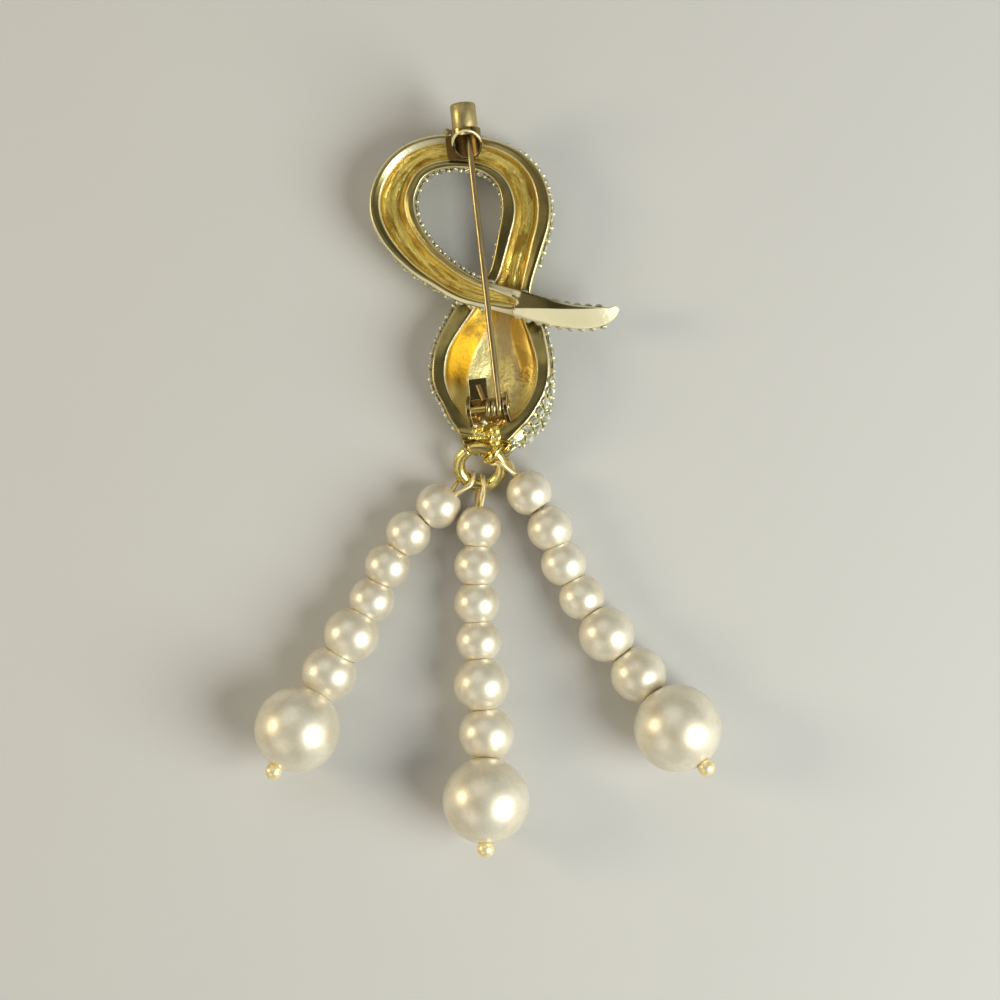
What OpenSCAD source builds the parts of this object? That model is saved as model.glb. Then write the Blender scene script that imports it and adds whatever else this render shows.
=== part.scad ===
/* [Pearls] */
// Diameter of the small pearls
small_d = 5.0; // [4.6:0.1:5.1]
// Length of the small pearls along the thread
small_len = 3.95; // [3.8:0.05:4]
// Diameter of the medium pearls
medium_d = 6.1; // [5.8:0.1:6.2]
// Diameter of the large pearls
large_d = 9.5; // [9.2:0.1:9.6]
// Length of the large pearls along the thread
large_len = 8.9; // [8.7:0.1:9.1]
// Diameter of the hole drilled through each pearl
hole_d = 1.2; // [1.1:0.05:1.3]
// Gap left between two pearls on a thread
pearl_gap = 0.2; // [0.18:0.02:0.3]

/* [Threads] */
// Diameter of the gold thread
thread_d = 0.42; // [0.36:0.02:0.44]
// Diameter of the ball that ends each thread
end_ball_d = 1.9; // [1.6:0.1:2]

/* [Jump ring] */
// Diameter of the ring to the middle of its wire
ring_mid_d = 4.75; // [4.6:0.05:4.9]
// Diameter of the ring's wire
ring_wire_d = 1.35; // [1.2:0.05:1.4]
// Height of the ring's middle above the surface
ring_z = 2.5; // [2.45:0.05:2.55]
// How far the ring leans up to the snout
ring_lean = 30; // [28:1:32]

/* [Snake] */
// Rings of the casting between two rows of its table
rings_per_row = 2; // [1:1:3]
// How far the domed front swells past the rims where the snake is narrow
swell_least = 0.12; // [0.05:0.01:0.2]
// Share of the width past 4 mm by which the wide head swells more
swell_share = 0.075; // [0.05:0.005:0.09]

/* [Stones] */
// Height of a stone from its point to its table
stone_h = 0.42; // [0.36:0.02:0.46]
// Gap between a stone's point and the casting
stone_gap = 0.06; // [0.05:0.01:0.08]
// Width of the table as a share of the stone's width
table_share = 0.58; // [0.5:0.02:0.7]

/* [Pin] */
// Diameter of the needle
needle_d = 0.68; // [0.6:0.02:0.7]
// Length of the needle from the coil to its tip
needle_len = 29.8; // [29:0.1:30]
// Length of the tapered tip
tip_len = 4; // [3:0.5:6]
// Diameter of the hinge rivet
rivet_d = 0.64; // [0.6:0.02:0.66]
// Hole in the coil and the ears, around the rivet
rivet_hole_d = 0.72; // [0.7:0.01:0.76]
// Radius of the coil to the middle of its wire
coil_r = 0.7; // [0.68:0.01:0.72]
// Number of turns of the coil
coil_turns = 3; // [2:1:3]
// Height of the rivet above the surface
rivet_z = 6.1; // [6.1:0.05:6.3]

/* [Hinge bracket] */
// Thickness of the bracket's sheet
bracket_t = 0.3; // [0.25:0.05:0.3]
// Thickness of the two ears
ear_t = 0.45; // [0.35:0.05:0.45]
// Radius of the ears' rounded tops
ear_r = 1.1; // [0.9:0.1:1.2]

/* [Catch] */
// Outer diameter of the fixed barrel
barrel_d = 3.3; // [3.2:0.05:3.4]
// Bore of the fixed barrel
bore_d = 2.86; // [2.84:0.02:2.9]
// Outer diameter of the sliding tube
tube_d = 2.8; // [2.7:0.02:2.82]
// Wall of the sliding tube
tube_wall = 0.25; // [0.2:0.05:0.3]
// Length of the sliding tube
tube_len = 3.15; // [2.8:0.05:3.2]
// Diameter of the thumb knob
knob_d = 0.75; // [0.6:0.05:0.8]

/* [Hidden] */
$fn = 48;

// Colours of the metal, the pearls and the stones
gold = [0.83, 0.68, 0.30];
dark_gold = [0.62, 0.50, 0.24];
ivory = [0.93, 0.89, 0.80];
crystal = [0.90, 0.93, 0.95];

// The snake lies with its open back up, and this table follows it from the tip of the
// tail round the loop to the snout. Each row is one cross-section of the casting.
X = 0;          // middle of the section
Y = 1;
WIDTH = 2;      // width across the rims
RIM = 3;        // height of the rims
DEPTH = 4;      // depth of the domed front below the rims
HOLLOW_W = 5;   // width of the channel in the back
HOLLOW_D = 6;   // depth of that channel
CROWN = 7;      // rise of a closed, rounded back above the rims
FLARE = 8;      // how much further the front swells on the left, where the head flares
snake = [
    [13.3, 20.8, 0.5, 4.95, 0.35, 0.2, 0.02, 0.15, 0],
    [12.5, 20.15, 1.4, 4.95, 0.8, 0.5, 0.02, 0.4, 0],
    [11.45, 19.85, 2.1, 4.95, 1.0, 0.8, 0.02, 0.6, 0],
    [9.8, 19.75, 2.5, 5.0, 1.15, 0.9, 0.02, 0.7, 0],
    [8.1, 19.9, 2.6, 5.05, 1.25, 0.9, 0.02, 0.7, 0],
    [5.4, 20.45, 2.75, 5.1, 1.3, 0.9, 0.02, 0.65, 0],
    [2.6, 21.25, 2.85, 5.2, 1.4, 0.9, 0.02, 0.5, 0],
    [1.3, 21.6, 2.85, 5.25, 1.4, 1.1, 0.4, 0.1, 0],
    [-0.5, 22.1, 2.85, 5.3, 1.4, 1.3, 0.6, 0, 0],
    [-2.0, 22.5, 2.95, 5.3, 1.45, 1.5, 0.7, 0, 0],
    [-3.5, 23.05, 3.2, 5.25, 1.6, 1.6, 0.8, 0, 0],
    [-5.0, 23.9, 3.35, 5.1, 2.0, 1.7, 0.9, 0, 0],
    [-6.4, 24.9, 3.5, 4.9, 2.4, 1.8, 0.95, 0, 0],
    [-8.1, 26.2, 3.9, 4.7, 2.8, 2.0, 1.05, 0, 0],
    [-9.7, 27.9, 4.35, 4.55, 3.1, 2.2, 1.15, 0, 0],
    [-10.95, 29.7, 4.75, 4.5, 3.3, 2.4, 1.3, 0, 0],
    [-11.7, 31.6, 5.1, 4.5, 3.45, 2.6, 1.4, 0, 0],
    [-11.75, 33.5, 5.1, 4.5, 3.45, 2.6, 1.4, 0, 0],
    [-11.05, 35.4, 4.85, 4.5, 3.4, 2.4, 1.3, 0, 0],
    [-9.9, 36.9, 4.45, 4.5, 3.25, 2.1, 1.15, 0, 0],
    [-8.4, 37.85, 4.1, 4.5, 3.1, 1.9, 1.05, 0, 0],
    [-6.5, 38.35, 3.85, 4.5, 3.0, 1.8, 1.0, 0, 0],
    [-4.3, 38.4, 3.7, 4.5, 3.0, 1.8, 1.0, 0, 0],
    [-2.25, 38.1, 3.7, 4.5, 3.0, 1.8, 1.0, 0, 0],
    [-0.4, 37.5, 4.0, 4.5, 3.15, 1.9, 1.05, 0, 0],
    [1.3, 36.4, 4.5, 4.5, 3.4, 2.1, 1.2, 0, 0],
    [2.5, 34.75, 5.05, 4.5, 3.7, 2.3, 1.35, 0, 0],
    [3.1, 32.6, 5.4, 4.5, 3.9, 2.3, 1.4, 0, 0],
    [3.05, 30.6, 5.5, 4.45, 3.9, 2.3, 1.4, 0, 0],
    [2.5, 28.4, 5.3, 4.3, 3.7, 2.3, 1.3, 0, 0],
    [1.85, 26.0, 5.0, 3.9, 3.35, 2.4, 1.2, 0, 0],
    [1.25, 24.1, 5.1, 3.45, 2.9, 2.5, 1.1, 0, 0],
    [0.75, 22.8, 6.3, 3.25, 2.75, 3.2, 1.1, 0, 0],
    [0.3, 21.5, 8.3, 3.2, 2.7, 4.4, 1.3, 0, 0],
    [-0.1, 20.0, 10.1, 3.3, 2.8, 5.8, 1.7, 0, 0],
    [-0.4, 18.0, 11.6, 4.0, 3.5, 7.8, 2.5, 0, 0],
    [-0.65, 15.8, 12.8, 4.5, 4.0, 9.6, 3.1, 0, 0],
    [-0.8, 13.6, 13.1, 4.55, 4.05, 10.0, 3.3, 0, 0],
    [-0.9, 11.9, 12.4, 4.55, 4.05, 9.3, 3.2, 0, 0.75],
    [-1.05, 10.2, 10.7, 4.55, 4.05, 7.6, 2.8, 0, 1.6],
    [-1.28, 8.6, 8.64, 4.55, 3.95, 4.6, 1.3, 0, 2.15],
    [-1.45, 7.3, 6.7, 4.5, 3.7, 2.0, 0.05, 0.2, 2.55],
    [-1.6, 6.5, 5.4, 4.4, 3.4, 1.8, 0.03, 0.2, 2.1],
    [-1.6, 6.4, 5.7, 1.8, 0.9, 1.8, 0.03, 0.1, 1.4],
    [-1.65, 5.8, 5.1, 1.75, 0.95, 1.6, 0.03, 0.1, 1.1],
    [-1.75, 5.1, 3.7, 1.65, 0.85, 1.2, 0.03, 0.1, 1.0],
    [-1.85, 4.6, 2.0, 1.5, 0.6, 0.8, 0.03, 0.1, 0.35]];

// A smooth row between rows i and i + 1 of a table
function smooth_row(rows, i, t) = let (
        a = rows[max(i - 1, 0)], b = rows[i],
        c = rows[min(i + 1, len(rows) - 1)], d = rows[min(i + 2, len(rows) - 1)])
    0.5 * (2 * b + (c - a) * t + (2 * a - 5 * b + 4 * c - d) * t * t
        + (3 * b - a - 3 * c + d) * t * t * t);

// Running total of the steps between the points of a list
function running_length(points) = [for (i = 0, total = 0; i < len(points);
    total = total + (i + 1 < len(points) ? norm(points[i + 1] - points[i]) : 0),
    i = i + 1) total];

sections = concat(
    [for (i = [0:len(snake) - 2], k = [0:rings_per_row - 1])
        smooth_row(snake, i, k / rings_per_row)],
    [snake[len(snake) - 1]]);
section_at = running_length([for (s = sections) [s[X], s[Y]]]);
snake_len = section_at[len(section_at) - 1];
columns = [for (c = [X:FLARE]) [for (i = [0:len(sections) - 1]) [section_at[i], sections[i][c]]]];

// The snake's section at a distance from the tip of the tail
function section(along) = [for (c = [X:FLARE]) lookup(along, columns[c])];

// Unit vector to the right of the way from tail to snout
heading_step = 0.4;
function rightward(along) = let (
        a = section(max(along - heading_step, 0)),
        b = section(min(along + heading_step, snake_len)),
        way = [b[X] - a[X], b[Y] - a[Y]])
    [way[1], -way[0], 0] / norm(way);

// A point in space from a section, sideways and up
function in_section(along, side, up) = let (s = section(along))
    [s[X], s[Y], 0] + side * rightward(along) + [0, 0, up];

// A point of the domed front, where turn goes from 0 at the right rim to 180 at the left
plain_w = 4;
thin_w = 2;
function dome(along, turn) = let (
        s = section(along),
        swell = max(swell_least, swell_share * (s[WIDTH] - plain_w))
            * min(1, s[WIDTH] / thin_w) + (turn > 90 ? s[FLARE] : 0))
    in_section(along, s[WIDTH] / 2 * cos(turn) + swell * sin(2 * turn),
        s[RIM] - s[DEPTH] * sin(turn));

// Points of the back from the left rim's inner edge to the right one's, as shares of
// the channel's half width and depth
hollow_shape = [[-1, 0], [-0.85, 0.65], [-0.5, 1], [0.5, 1], [0.85, 0.65], [1, 0]];
function back(along, p) = let (
        s = section(along),
        side = p[0] * s[HOLLOW_W] / 2,
        share = 2 * side / s[WIDTH])
    in_section(along, side,
        s[RIM] - p[1] * s[HOLLOW_D] + s[CROWN] * (1 - share * share));

dome_steps = 10;
section_points = dome_steps + 1 + len(hollow_shape);
function section_ring(along) = concat(
    [for (k = [0:dome_steps]) dome(along, 180 * k / dome_steps)],
    [for (p = hollow_shape) back(along, p)]);

// Faces that join rings of n points, with both ends closed
function ring_faces(rings, n) = concat(
    [[for (i = [0:n - 1]) i]],
    [for (k = [0:rings - 2], i = [0:n - 1]) let (j = (i + 1) % n)
        [k * n + j, k * n + i, (k + 1) * n + i]],
    [for (k = [0:rings - 2], i = [0:n - 1]) let (j = (i + 1) % n)
        [k * n + j, (k + 1) * n + i, (k + 1) * n + j]],
    [[for (i = [n - 1:-1:0]) (rings - 1) * n + i]]);

// The ring hangs below the snout, in an eye cast on its back
ring_at = [-2.15, 3.55, ring_z];
eye_turn = 50;
eye_wire_d = 0.8;
eye_play = 0.15;
eye_mid_r = ring_wire_d / 2 + eye_play + eye_wire_d / 2;

// A point in the middle of the ring's wire, and the way the wire runs there
function leaned(v) = [v[0], v[1] * cos(ring_lean), v[1] * sin(ring_lean)];
function ring_point(turn) = ring_at + ring_mid_d / 2 * leaned([cos(turn), sin(turn)]);
function ring_way(turn) = leaned([-sin(turn), cos(turn)]);

// Rows of stones: angle round the dome, stone width, pitch, and the stretch of the snake
// that the row covers, from the tip of the tail
ANGLE = 0;
STONE_D = 1;
PITCH = 2;
FROM = 3;
TO = 4;
tail_from = 1.6;
tail_to = 13;
loop_from = 14.3;
neck_from = 59;
head_from = 61.5;
snout_to = 78.6;
stone_rows = [
    [38, 0.9, 1.2, tail_from, tail_to],
    [142, 0.9, 1.2, tail_from, tail_to],
    [30, 1.1, 1.45, loop_from, neck_from],
    [150, 1.1, 1.45, loop_from, neck_from],
    [90, 1.6, 2.15, 21, 61],
    [58, 1.1, 2.15, 33, neck_from],
    [122, 1.1, 2.15, 21, neck_from],
    [18, 1.1, 1.45, head_from, snout_to],
    [162, 1.1, 1.45, head_from, snout_to],
    [175, 0.9, 1.2, 71, 78],
    [36, 1.1, 1.45, 64.4, 77],
    [144, 1.1, 1.45, 65, 77],
    [54, 1.5, 1.9, 64.8, 76.6],
    [126, 1.5, 1.9, 64.8, 76.6],
    [72, 1.8, 2.2, 67, 75],
    [108, 1.8, 2.2, 67, 75],
    [90, 2.2, 2.6, 62.5, 77]];

// Distances along the snake of a row's stones, evenly spaced on the dome itself
row_step = 0.5;
function row_stops(row) = let (
        marks = [for (a = [row[FROM]:row_step:row[TO]]) a],
        run = running_length([for (a = marks) dome(a, row[ANGLE])]),
        table = [for (i = [0:len(marks) - 1]) [run[i], marks[i]]],
        count = floor(run[len(run) - 1] / row[PITCH]))
    [for (i = [0:count - 1]) lookup((i + 0.5) * row[PITCH], table)];

function unit(v) = v / norm(v);
probe = 0.1;
probe_turn = 3;
function dome_normal(along, turn) = unit(cross(
    dome(along, turn + probe_turn) - dome(along, turn - probe_turn),
    dome(along + probe, turn) - dome(along - probe, turn)));

// Strands: where the first pearl lies, then each pearl's diameter, its length, the
// heading to the next one, measured from straight down, and the spare thread there
PEARL_D = 0;
PEARL_LEN = 1;
HEADING = 2;
SPARE = 3;
left_medium_len = 4.75;
middle_medium_len = 5.3;
right_medium_len = 5.4;
left_start = [-6.8, -0.8];
left_strand = [
    [small_d, small_len, -48, 0.4],
    [small_d, small_len, -33, 0.15],
    [small_d, small_len, -25, 0],
    [small_d, small_len, -29, 0],
    [medium_d, left_medium_len, -30.5, 0],
    [medium_d, left_medium_len, -28, 0.05],
    [large_d, large_len, -29, 0]];
middle_start = [-2.3, -3.2];
middle_strand = [
    [small_d, small_len, -3, 0.1],
    [small_d, small_len, 0, 0],
    [small_d, small_len, 3, 0.05],
    [small_d, small_len, 4, 0],
    [medium_d, middle_medium_len, 6, 0],
    [medium_d, middle_medium_len, 1, 0],
    [large_d, large_len, 3, 0]];
right_start = [3.3, 0.6];
right_strand = [
    [small_d, small_len, 30, 0.45],
    [small_d, small_len, 21.5, 0],
    [small_d, small_len, 28, 0.08],
    [small_d, small_len, 34.5, 0.05],
    [medium_d, right_medium_len, 38.5, 0],
    [medium_d, right_medium_len, 37, 0],
    [large_d, large_len, 38, 0]];

// Middles of a strand's pearls, each resting on the surface at its own radius
function level_step(a, b) = let (
        reach = (a[PEARL_LEN] + b[PEARL_LEN]) / 2 + pearl_gap + a[SPARE],
        rise = (b[PEARL_D] - a[PEARL_D]) / 2)
    sqrt(reach * reach - rise * rise) * [sin(a[HEADING]), -cos(a[HEADING])];
function strand_centres(start, rows) = [for (i = 0, p = start; i < len(rows);
    p = p + (i + 1 < len(rows) ? level_step(rows[i], rows[i + 1]) : [0, 0]),
    i = i + 1) [p[0], p[1], rows[i][PEARL_D] / 2]];

left_pearls = strand_centres(left_start, left_strand);
middle_pearls = strand_centres(middle_start, middle_strand);
right_pearls = strand_centres(right_start, right_strand);

// Direction of the hole through pearl i: midway between the threads on its two sides
function pearl_axis(centres, first, i) = i == 0
    ? unit(unit(first) + unit(centres[1] - centres[0]))
    : i == len(centres) - 1
        ? unit(centres[i] - centres[i - 1])
        : unit(unit(centres[i] - centres[i - 1]) + unit(centres[i + 1] - centres[i]));

// Way from the ring to each strand's first pearl
left_first = [-0.81, -0.59, 0];
middle_first = [0, -1, 0];
right_first = [0.62, -0.78, 0];

// Where each thread loops round the ring
left_turn = 225;
middle_turn = 268;
right_turn = 14;
wrap_play = 0.14;
wrap_r = ring_wire_d / 2 + thread_d / 2 + wrap_play;
wrap_skew = 0.3;
wrap_steps = 6;
wrap_open = 65;
leg_gap = 0.03;
leg_offset = thread_d / 2 + leg_gap;
leg_inside = 0.8;

// Route of a thread: up through its pearls, round the ring and back into the first hole
function thread_route(centres, rows, first, turn) = let (
        axis = pearl_axis(centres, first, 0),
        mouth = centres[0] - rows[0][PEARL_LEN] / 2 * axis,
        hold = ring_point(turn),
        wire = ring_way(turn),
        pull = mouth - hold,
        out = unit(pull - (pull * wire) * wire),
        over = cross(wire, out)[2] > 0 ? cross(wire, out) : cross(out, wire))
    concat(
        [for (i = [last:-1:0]) centres[i]],
        [mouth + [0, 0, leg_offset]],
        [for (k = [0:wrap_steps]) let (
                a = wrap_open + (360 - 2 * wrap_open) * k / wrap_steps)
            hold + wrap_r * (cos(a) * out + sin(a) * over)
                + wrap_skew * (1 - 2 * k / wrap_steps) * wire],
        [mouth - [0, 0, leg_offset], mouth - [0, 0, leg_offset] + leg_inside * axis]);

// The ball that ends a thread, as [distance from its middle, radius] in shares
ball_shape = [[1, 0.12], [0.87, 0.5], [0.5, 0.87], [0, 1], [-0.5, 0.87], [-0.87, 0.5]];
thread_sides = 8;
ball_seat = 0.84;
nearly_up = [0.03, 0.02, 1];

// Side vector of a bent tube, carried from ring to ring so that it never twists
function carried(side, way) = unit(side - (side * way) * way);
function turned_ring(p, way, side, r) = let (up = cross(way, side))
    [for (k = [0:thread_sides - 1]) let (a = 360 * k / thread_sides)
        p + r * (cos(a) * side + sin(a) * up)];

function way_at(route, i) = unit(
    unit(route[min(i + 1, len(route) - 1)] - route[i == len(route) - 1 ? i - 1 : i])
    + unit(route[i == 0 ? 1 : i] - route[max(i - 1, 0)]));

// Half the box that the whole brooch fills, so that the origin is under its middle
catch_at = [-3.25, 39.5];
needle_lean = 6.55;
tube_from = 0.5;
tube_round = 0.3;
last = len(middle_pearls) - 1;
west = left_pearls[last][0] - large_d / 2;
east = right_pearls[last][0] + large_d / 2;
north = catch_at[1] + (tube_from + tube_len) * cos(needle_lean)
    + (tube_d / 2 - tube_round) * sin(needle_lean);
south_axis = pearl_axis(middle_pearls, middle_first, last);
south = middle_pearls[last][1] + (large_len / 2 + ball_seat) * south_axis[1]
    - end_ball_d / 2;
centre = [(west + east) / 2, (north + south) / 2, 0];

// Hinge and catch stand on the needle's line
hinge_at = [-0.95, 9.75];
needle_side = 1.35;
needle_z = rivet_z + coil_r;
turn_lap = 0.06;
coil_pitch = needle_d - turn_lap;
coil_wire_d = needle_d + 0.02;
leg_root_d = needle_d + 0.08;
leg_len = 2.2;
tip_d = 0.14;
plate_z = 4.68;
ear_in = 1.81;
ear_foot = 1.7;
ear_shoulder = 30;
rivet_head_r = 0.5;
rivet_head_t = 0.18;
hairline = 0.03;
overcut = 1;
lap = 0.1;
tongue_from = -1.9;
tongue_to = 0.1;
tongue_end = 3.5;
plate_end = 1.2;
plate_back = 1.45;

catch_plate_z = 4.6;
catch_plate_t = 0.3;
catch_plate_from = -2.5;
catch_plate_to = 1.0;
saddle_w = 1.8;
saddle_h = 0.8;
trough_len = 2.0;
band_from = 0.35;
band_to = 0.75;
mouth_drop = 1.35;
slot_w = 0.7;
knob_stem_d = 0.45;
knob_along = 0.8;
knob_side = 2.0;
seam_w = 0.14;
seam_depth = 0.08;
seam_turn = 22;

module in_place() translate(-centre) children();

module at_hinge() in_place() translate([hinge_at[0], hinge_at[1], rivet_z])
    rotate([0, 0, needle_lean]) children();

module at_catch() in_place() translate([catch_at[0], catch_at[1], needle_z])
    rotate([0, 0, needle_lean]) children();

// Turns the Z axis to a direction
module aim(v) rotate([0, acos(v[2] / norm(v)), atan2(v[1], v[0])]) children();

module at_ring() translate(ring_at) rotate([ring_lean, 0, 0]) children();

module ring_eye() {
    at_ring() rotate([0, 0, eye_turn]) translate([ring_mid_d / 2, 0, 0]) rotate([90, 0, 0])
        rotate_extrude() translate([eye_mid_r, 0]) circle(d = eye_wire_d);
}

module snake_body() color(gold) in_place() {
    union() {
        polyhedron([for (a = section_at) each section_ring(a)],
            ring_faces(len(section_at), section_points));
        ring_eye();
    }
}

// One cut stone: a point below, a girdle of eight corners and a table
stone_sides = 8;
girdle_share = 0.42;
facing = [0.2, 0.9, 0.3];
module cut_stone(p, out, d) {
    side = unit(cross(out, facing));
    fore = cross(side, out);
    base = p + stone_gap * out;
    function corners(r, up) = [for (k = [0:stone_sides - 1])
        let (a = 360 * k / stone_sides)
        base + up * out + r * (cos(a) * side + sin(a) * fore)];
    n = stone_sides;
    polyhedron(
        concat([base], corners(d / 2, girdle_share * stone_h),
            corners(table_share * d / 2, stone_h)),
        concat(
            [for (k = [0:n - 1]) [0, 1 + (k + 1) % n, 1 + k]],
            [for (k = [0:n - 1]) [1 + k, 1 + (k + 1) % n, 1 + n + k]],
            [for (k = [0:n - 1]) [1 + (k + 1) % n, 1 + n + (k + 1) % n, 1 + n + k]],
            [[for (k = [0:n - 1]) 1 + n + k]]));
}

module stones() color(crystal) in_place() {
    for (row = stone_rows)
        for (a = row_stops(row))
            cut_stone(dome(a, row[ANGLE]), dome_normal(a, row[ANGLE]), row[STONE_D]);
}

module jump_ring() color(gold) in_place() {
    at_ring() rotate_extrude() translate([ring_mid_d / 2, 0]) circle(d = ring_wire_d);
}

module ear(side) {
    translate([side, 0, 0]) rotate([90, 0, 90]) linear_extrude(ear_t)
        difference() {
            union() {
                circle(r = ear_r);
                polygon([[-ear_foot, plate_z - rivet_z], [ear_foot, plate_z - rivet_z],
                    ear_r * [cos(ear_shoulder), sin(ear_shoulder)],
                    ear_r * [-cos(ear_shoulder), sin(ear_shoulder)]]);
            }
            circle(d = rivet_hole_d);
        }
}

module hinge_bracket() color(dark_gold) at_hinge() {
    union() {
        ear(ear_in);
        ear(-ear_in - ear_t);
        translate([-ear_in - ear_t, -plate_back, plate_z - rivet_z])
            cube([2 * (ear_in + ear_t), plate_back + plate_end, bracket_t]);
        translate([tongue_from, plate_end - lap, plate_z - rivet_z])
            cube([tongue_to - tongue_from, tongue_end - plate_end + lap, bracket_t]);
    }
}

module hinge_rivet() color(gold) at_hinge() {
    half = ear_in + ear_t + hairline;
    rotate([0, 90, 0]) {
        cylinder(d = rivet_d, h = 2 * (half + rivet_head_t / 2), center = true);
        for (end = [-1, 1])
            translate([0, 0, end * (half + rivet_head_t / 2)])
                cylinder(r = rivet_head_r, h = rivet_head_t, center = true);
    }
}

module pin_stem() color(gold) at_hinge() {
    difference() {
        union() {
            for (k = [0:coil_turns - 1])
                translate([needle_side - k * coil_pitch, 0, 0]) rotate([0, 90, 0])
                    rotate_extrude() translate([coil_r, 0]) circle(d = coil_wire_d);
            translate([needle_side - (coil_turns - 1) * coil_pitch, 0, 0])
                rotate([0, 90, 0]) cylinder(r = coil_r, h = (coil_turns - 1) * coil_pitch);
            translate([needle_side, 0, coil_r]) rotate([-90, 0, 0]) {
                cylinder(d1 = leg_root_d, d2 = needle_d, h = leg_len);
                translate([0, 0, leg_len])
                    cylinder(d = needle_d, h = needle_len - tip_len - leg_len);
                translate([0, 0, needle_len - tip_len])
                    cylinder(d1 = needle_d, d2 = tip_d, h = tip_len);
            }
        }
        rotate([0, 90, 0]) cylinder(d = rivet_hole_d, h = 2 * ear_in, center = true);
    }
}

module catch_barrel() color(dark_gold) at_catch() {
    reach = trough_len + band_to;
    difference() {
        union() {
            translate([0, -trough_len, 0]) rotate([-90, 0, 0])
                cylinder(d = barrel_d, h = reach);
            translate([catch_plate_from, -trough_len, catch_plate_z - needle_z])
                cube([catch_plate_to - catch_plate_from, reach, catch_plate_t]);
            translate([-saddle_w / 2, -trough_len, catch_plate_z - needle_z])
                cube([saddle_w, reach, saddle_h]);
        }
        translate([0, -trough_len - overcut, 0]) rotate([-90, 0, 0])
            cylinder(d = bore_d, h = reach + 2 * overcut);
        rotate([90, 0, 90]) translate([0, 0, -barrel_d]) linear_extrude(2 * barrel_d)
            polygon([[band_from, barrel_d], [band_from, barrel_d / 2 - lap],
                [-trough_len, -mouth_drop], [-trough_len - overcut, -mouth_drop],
                [-trough_len - overcut, barrel_d]]);
        translate([-barrel_d, -trough_len - overcut, -slot_w / 2])
            cube([barrel_d, reach + 2 * overcut, slot_w]);
    }
}

module catch_slider() color(gold) at_catch() {
    tube_r = tube_d / 2;
    difference() {
        union() {
            translate([0, tube_from, 0]) rotate([-90, 0, 0])
                cylinder(r = tube_r, h = tube_len - tube_round);
            translate([0, tube_from + tube_len - tube_round, 0]) rotate([-90, 0, 0])
                cylinder(r1 = tube_r, r2 = tube_r - tube_round, h = tube_round);
            translate([-knob_side, knob_along, 0]) rotate([0, 90, 0])
                cylinder(d = knob_stem_d, h = knob_side - tube_r + tube_wall / 2);
            translate([-knob_side, knob_along, 0]) sphere(d = knob_d);
        }
        translate([0, tube_from - overcut, 0]) rotate([-90, 0, 0])
            cylinder(r = tube_r - tube_wall, h = tube_len + overcut - 2 * tube_wall);
        rotate([0, seam_turn, 0])
            translate([-seam_w / 2, tube_from - overcut, tube_r - seam_depth])
                cube([seam_w, tube_len + 2 * overcut, overcut]);
    }
}

module thread(centres, rows, first, turn) color(gold) in_place() {
    route = thread_route(centres, rows, first, turn);
    axis = pearl_axis(centres, first, last);
    ball = centres[last] + (rows[last][PEARL_LEN] / 2 + ball_seat) * axis;
    start_side = unit(cross(-axis, nearly_up));
    ways = [for (i = [0:len(route) - 1]) i == 0 ? -axis : way_at(route, i)];
    sides = [for (i = 0, s = start_side; i < len(route);
        i = i + 1, s = i < len(route) ? carried(s, ways[i]) : s) s];
    rings = concat(
        [for (b = ball_shape) turned_ring(ball + b[0] * end_ball_d / 2 * axis, -axis,
            start_side, b[1] * end_ball_d / 2)],
        [for (i = [0:len(route) - 1]) turned_ring(route[i], ways[i], sides[i],
            thread_d / 2)]);
    polyhedron([for (r = rings) each r], ring_faces(len(rings), thread_sides));
}

module thread_left() thread(left_pearls, left_strand, left_first, left_turn);
module thread_middle() thread(middle_pearls, middle_strand, middle_first, middle_turn);
module thread_right() thread(right_pearls, right_strand, right_first, right_turn);

module pearl(centres, rows, first, number) color(ivory) in_place() {
    row = rows[number - 1];
    translate(centres[number - 1]) aim(pearl_axis(centres, first, number - 1))
        difference() {
            intersection() {
                sphere(d = row[PEARL_D]);
                cube([2 * row[PEARL_D], 2 * row[PEARL_D], row[PEARL_LEN]], center = true);
            }
            cylinder(d = hole_d, h = 2 * row[PEARL_D], center = true);
        }
}

module pearl_left(number) pearl(left_pearls, left_strand, left_first, number);
module pearl_middle(number) pearl(middle_pearls, middle_strand, middle_first, number);
module pearl_right(number) pearl(right_pearls, right_strand, right_first, number);

snake_body();
stones();
jump_ring();
hinge_bracket();
hinge_rivet();
pin_stem();
catch_barrel();
catch_slider();
thread_left();
thread_middle();
thread_right();
pearl_left(1);  // pearl_left_1
pearl_left(2);  // pearl_left_2
pearl_left(3);  // pearl_left_3
pearl_left(4);  // pearl_left_4
pearl_left(5);  // pearl_left_5
pearl_left(6);  // pearl_left_6
pearl_left(7);  // pearl_left_7
pearl_middle(1);  // pearl_middle_1
pearl_middle(2);  // pearl_middle_2
pearl_middle(3);  // pearl_middle_3
pearl_middle(4);  // pearl_middle_4
pearl_middle(5);  // pearl_middle_5
pearl_middle(6);  // pearl_middle_6
pearl_middle(7);  // pearl_middle_7
pearl_right(1);  // pearl_right_1
pearl_right(2);  // pearl_right_2
pearl_right(3);  // pearl_right_3
pearl_right(4);  // pearl_right_4
pearl_right(5);  // pearl_right_5
pearl_right(6);  // pearl_right_6
pearl_right(7);  // pearl_right_7
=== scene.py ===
"""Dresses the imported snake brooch: a gilt casting with a stone-set front that lies face
down, its hinged pin and sliding catch, and three strands of imitation pearls.
"""

import math
import random

import bmesh
import bpy
from bpy.props import FloatProperty, FloatVectorProperty, IntProperty, PointerProperty
from mathutils import Matrix, Vector, noise


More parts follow.
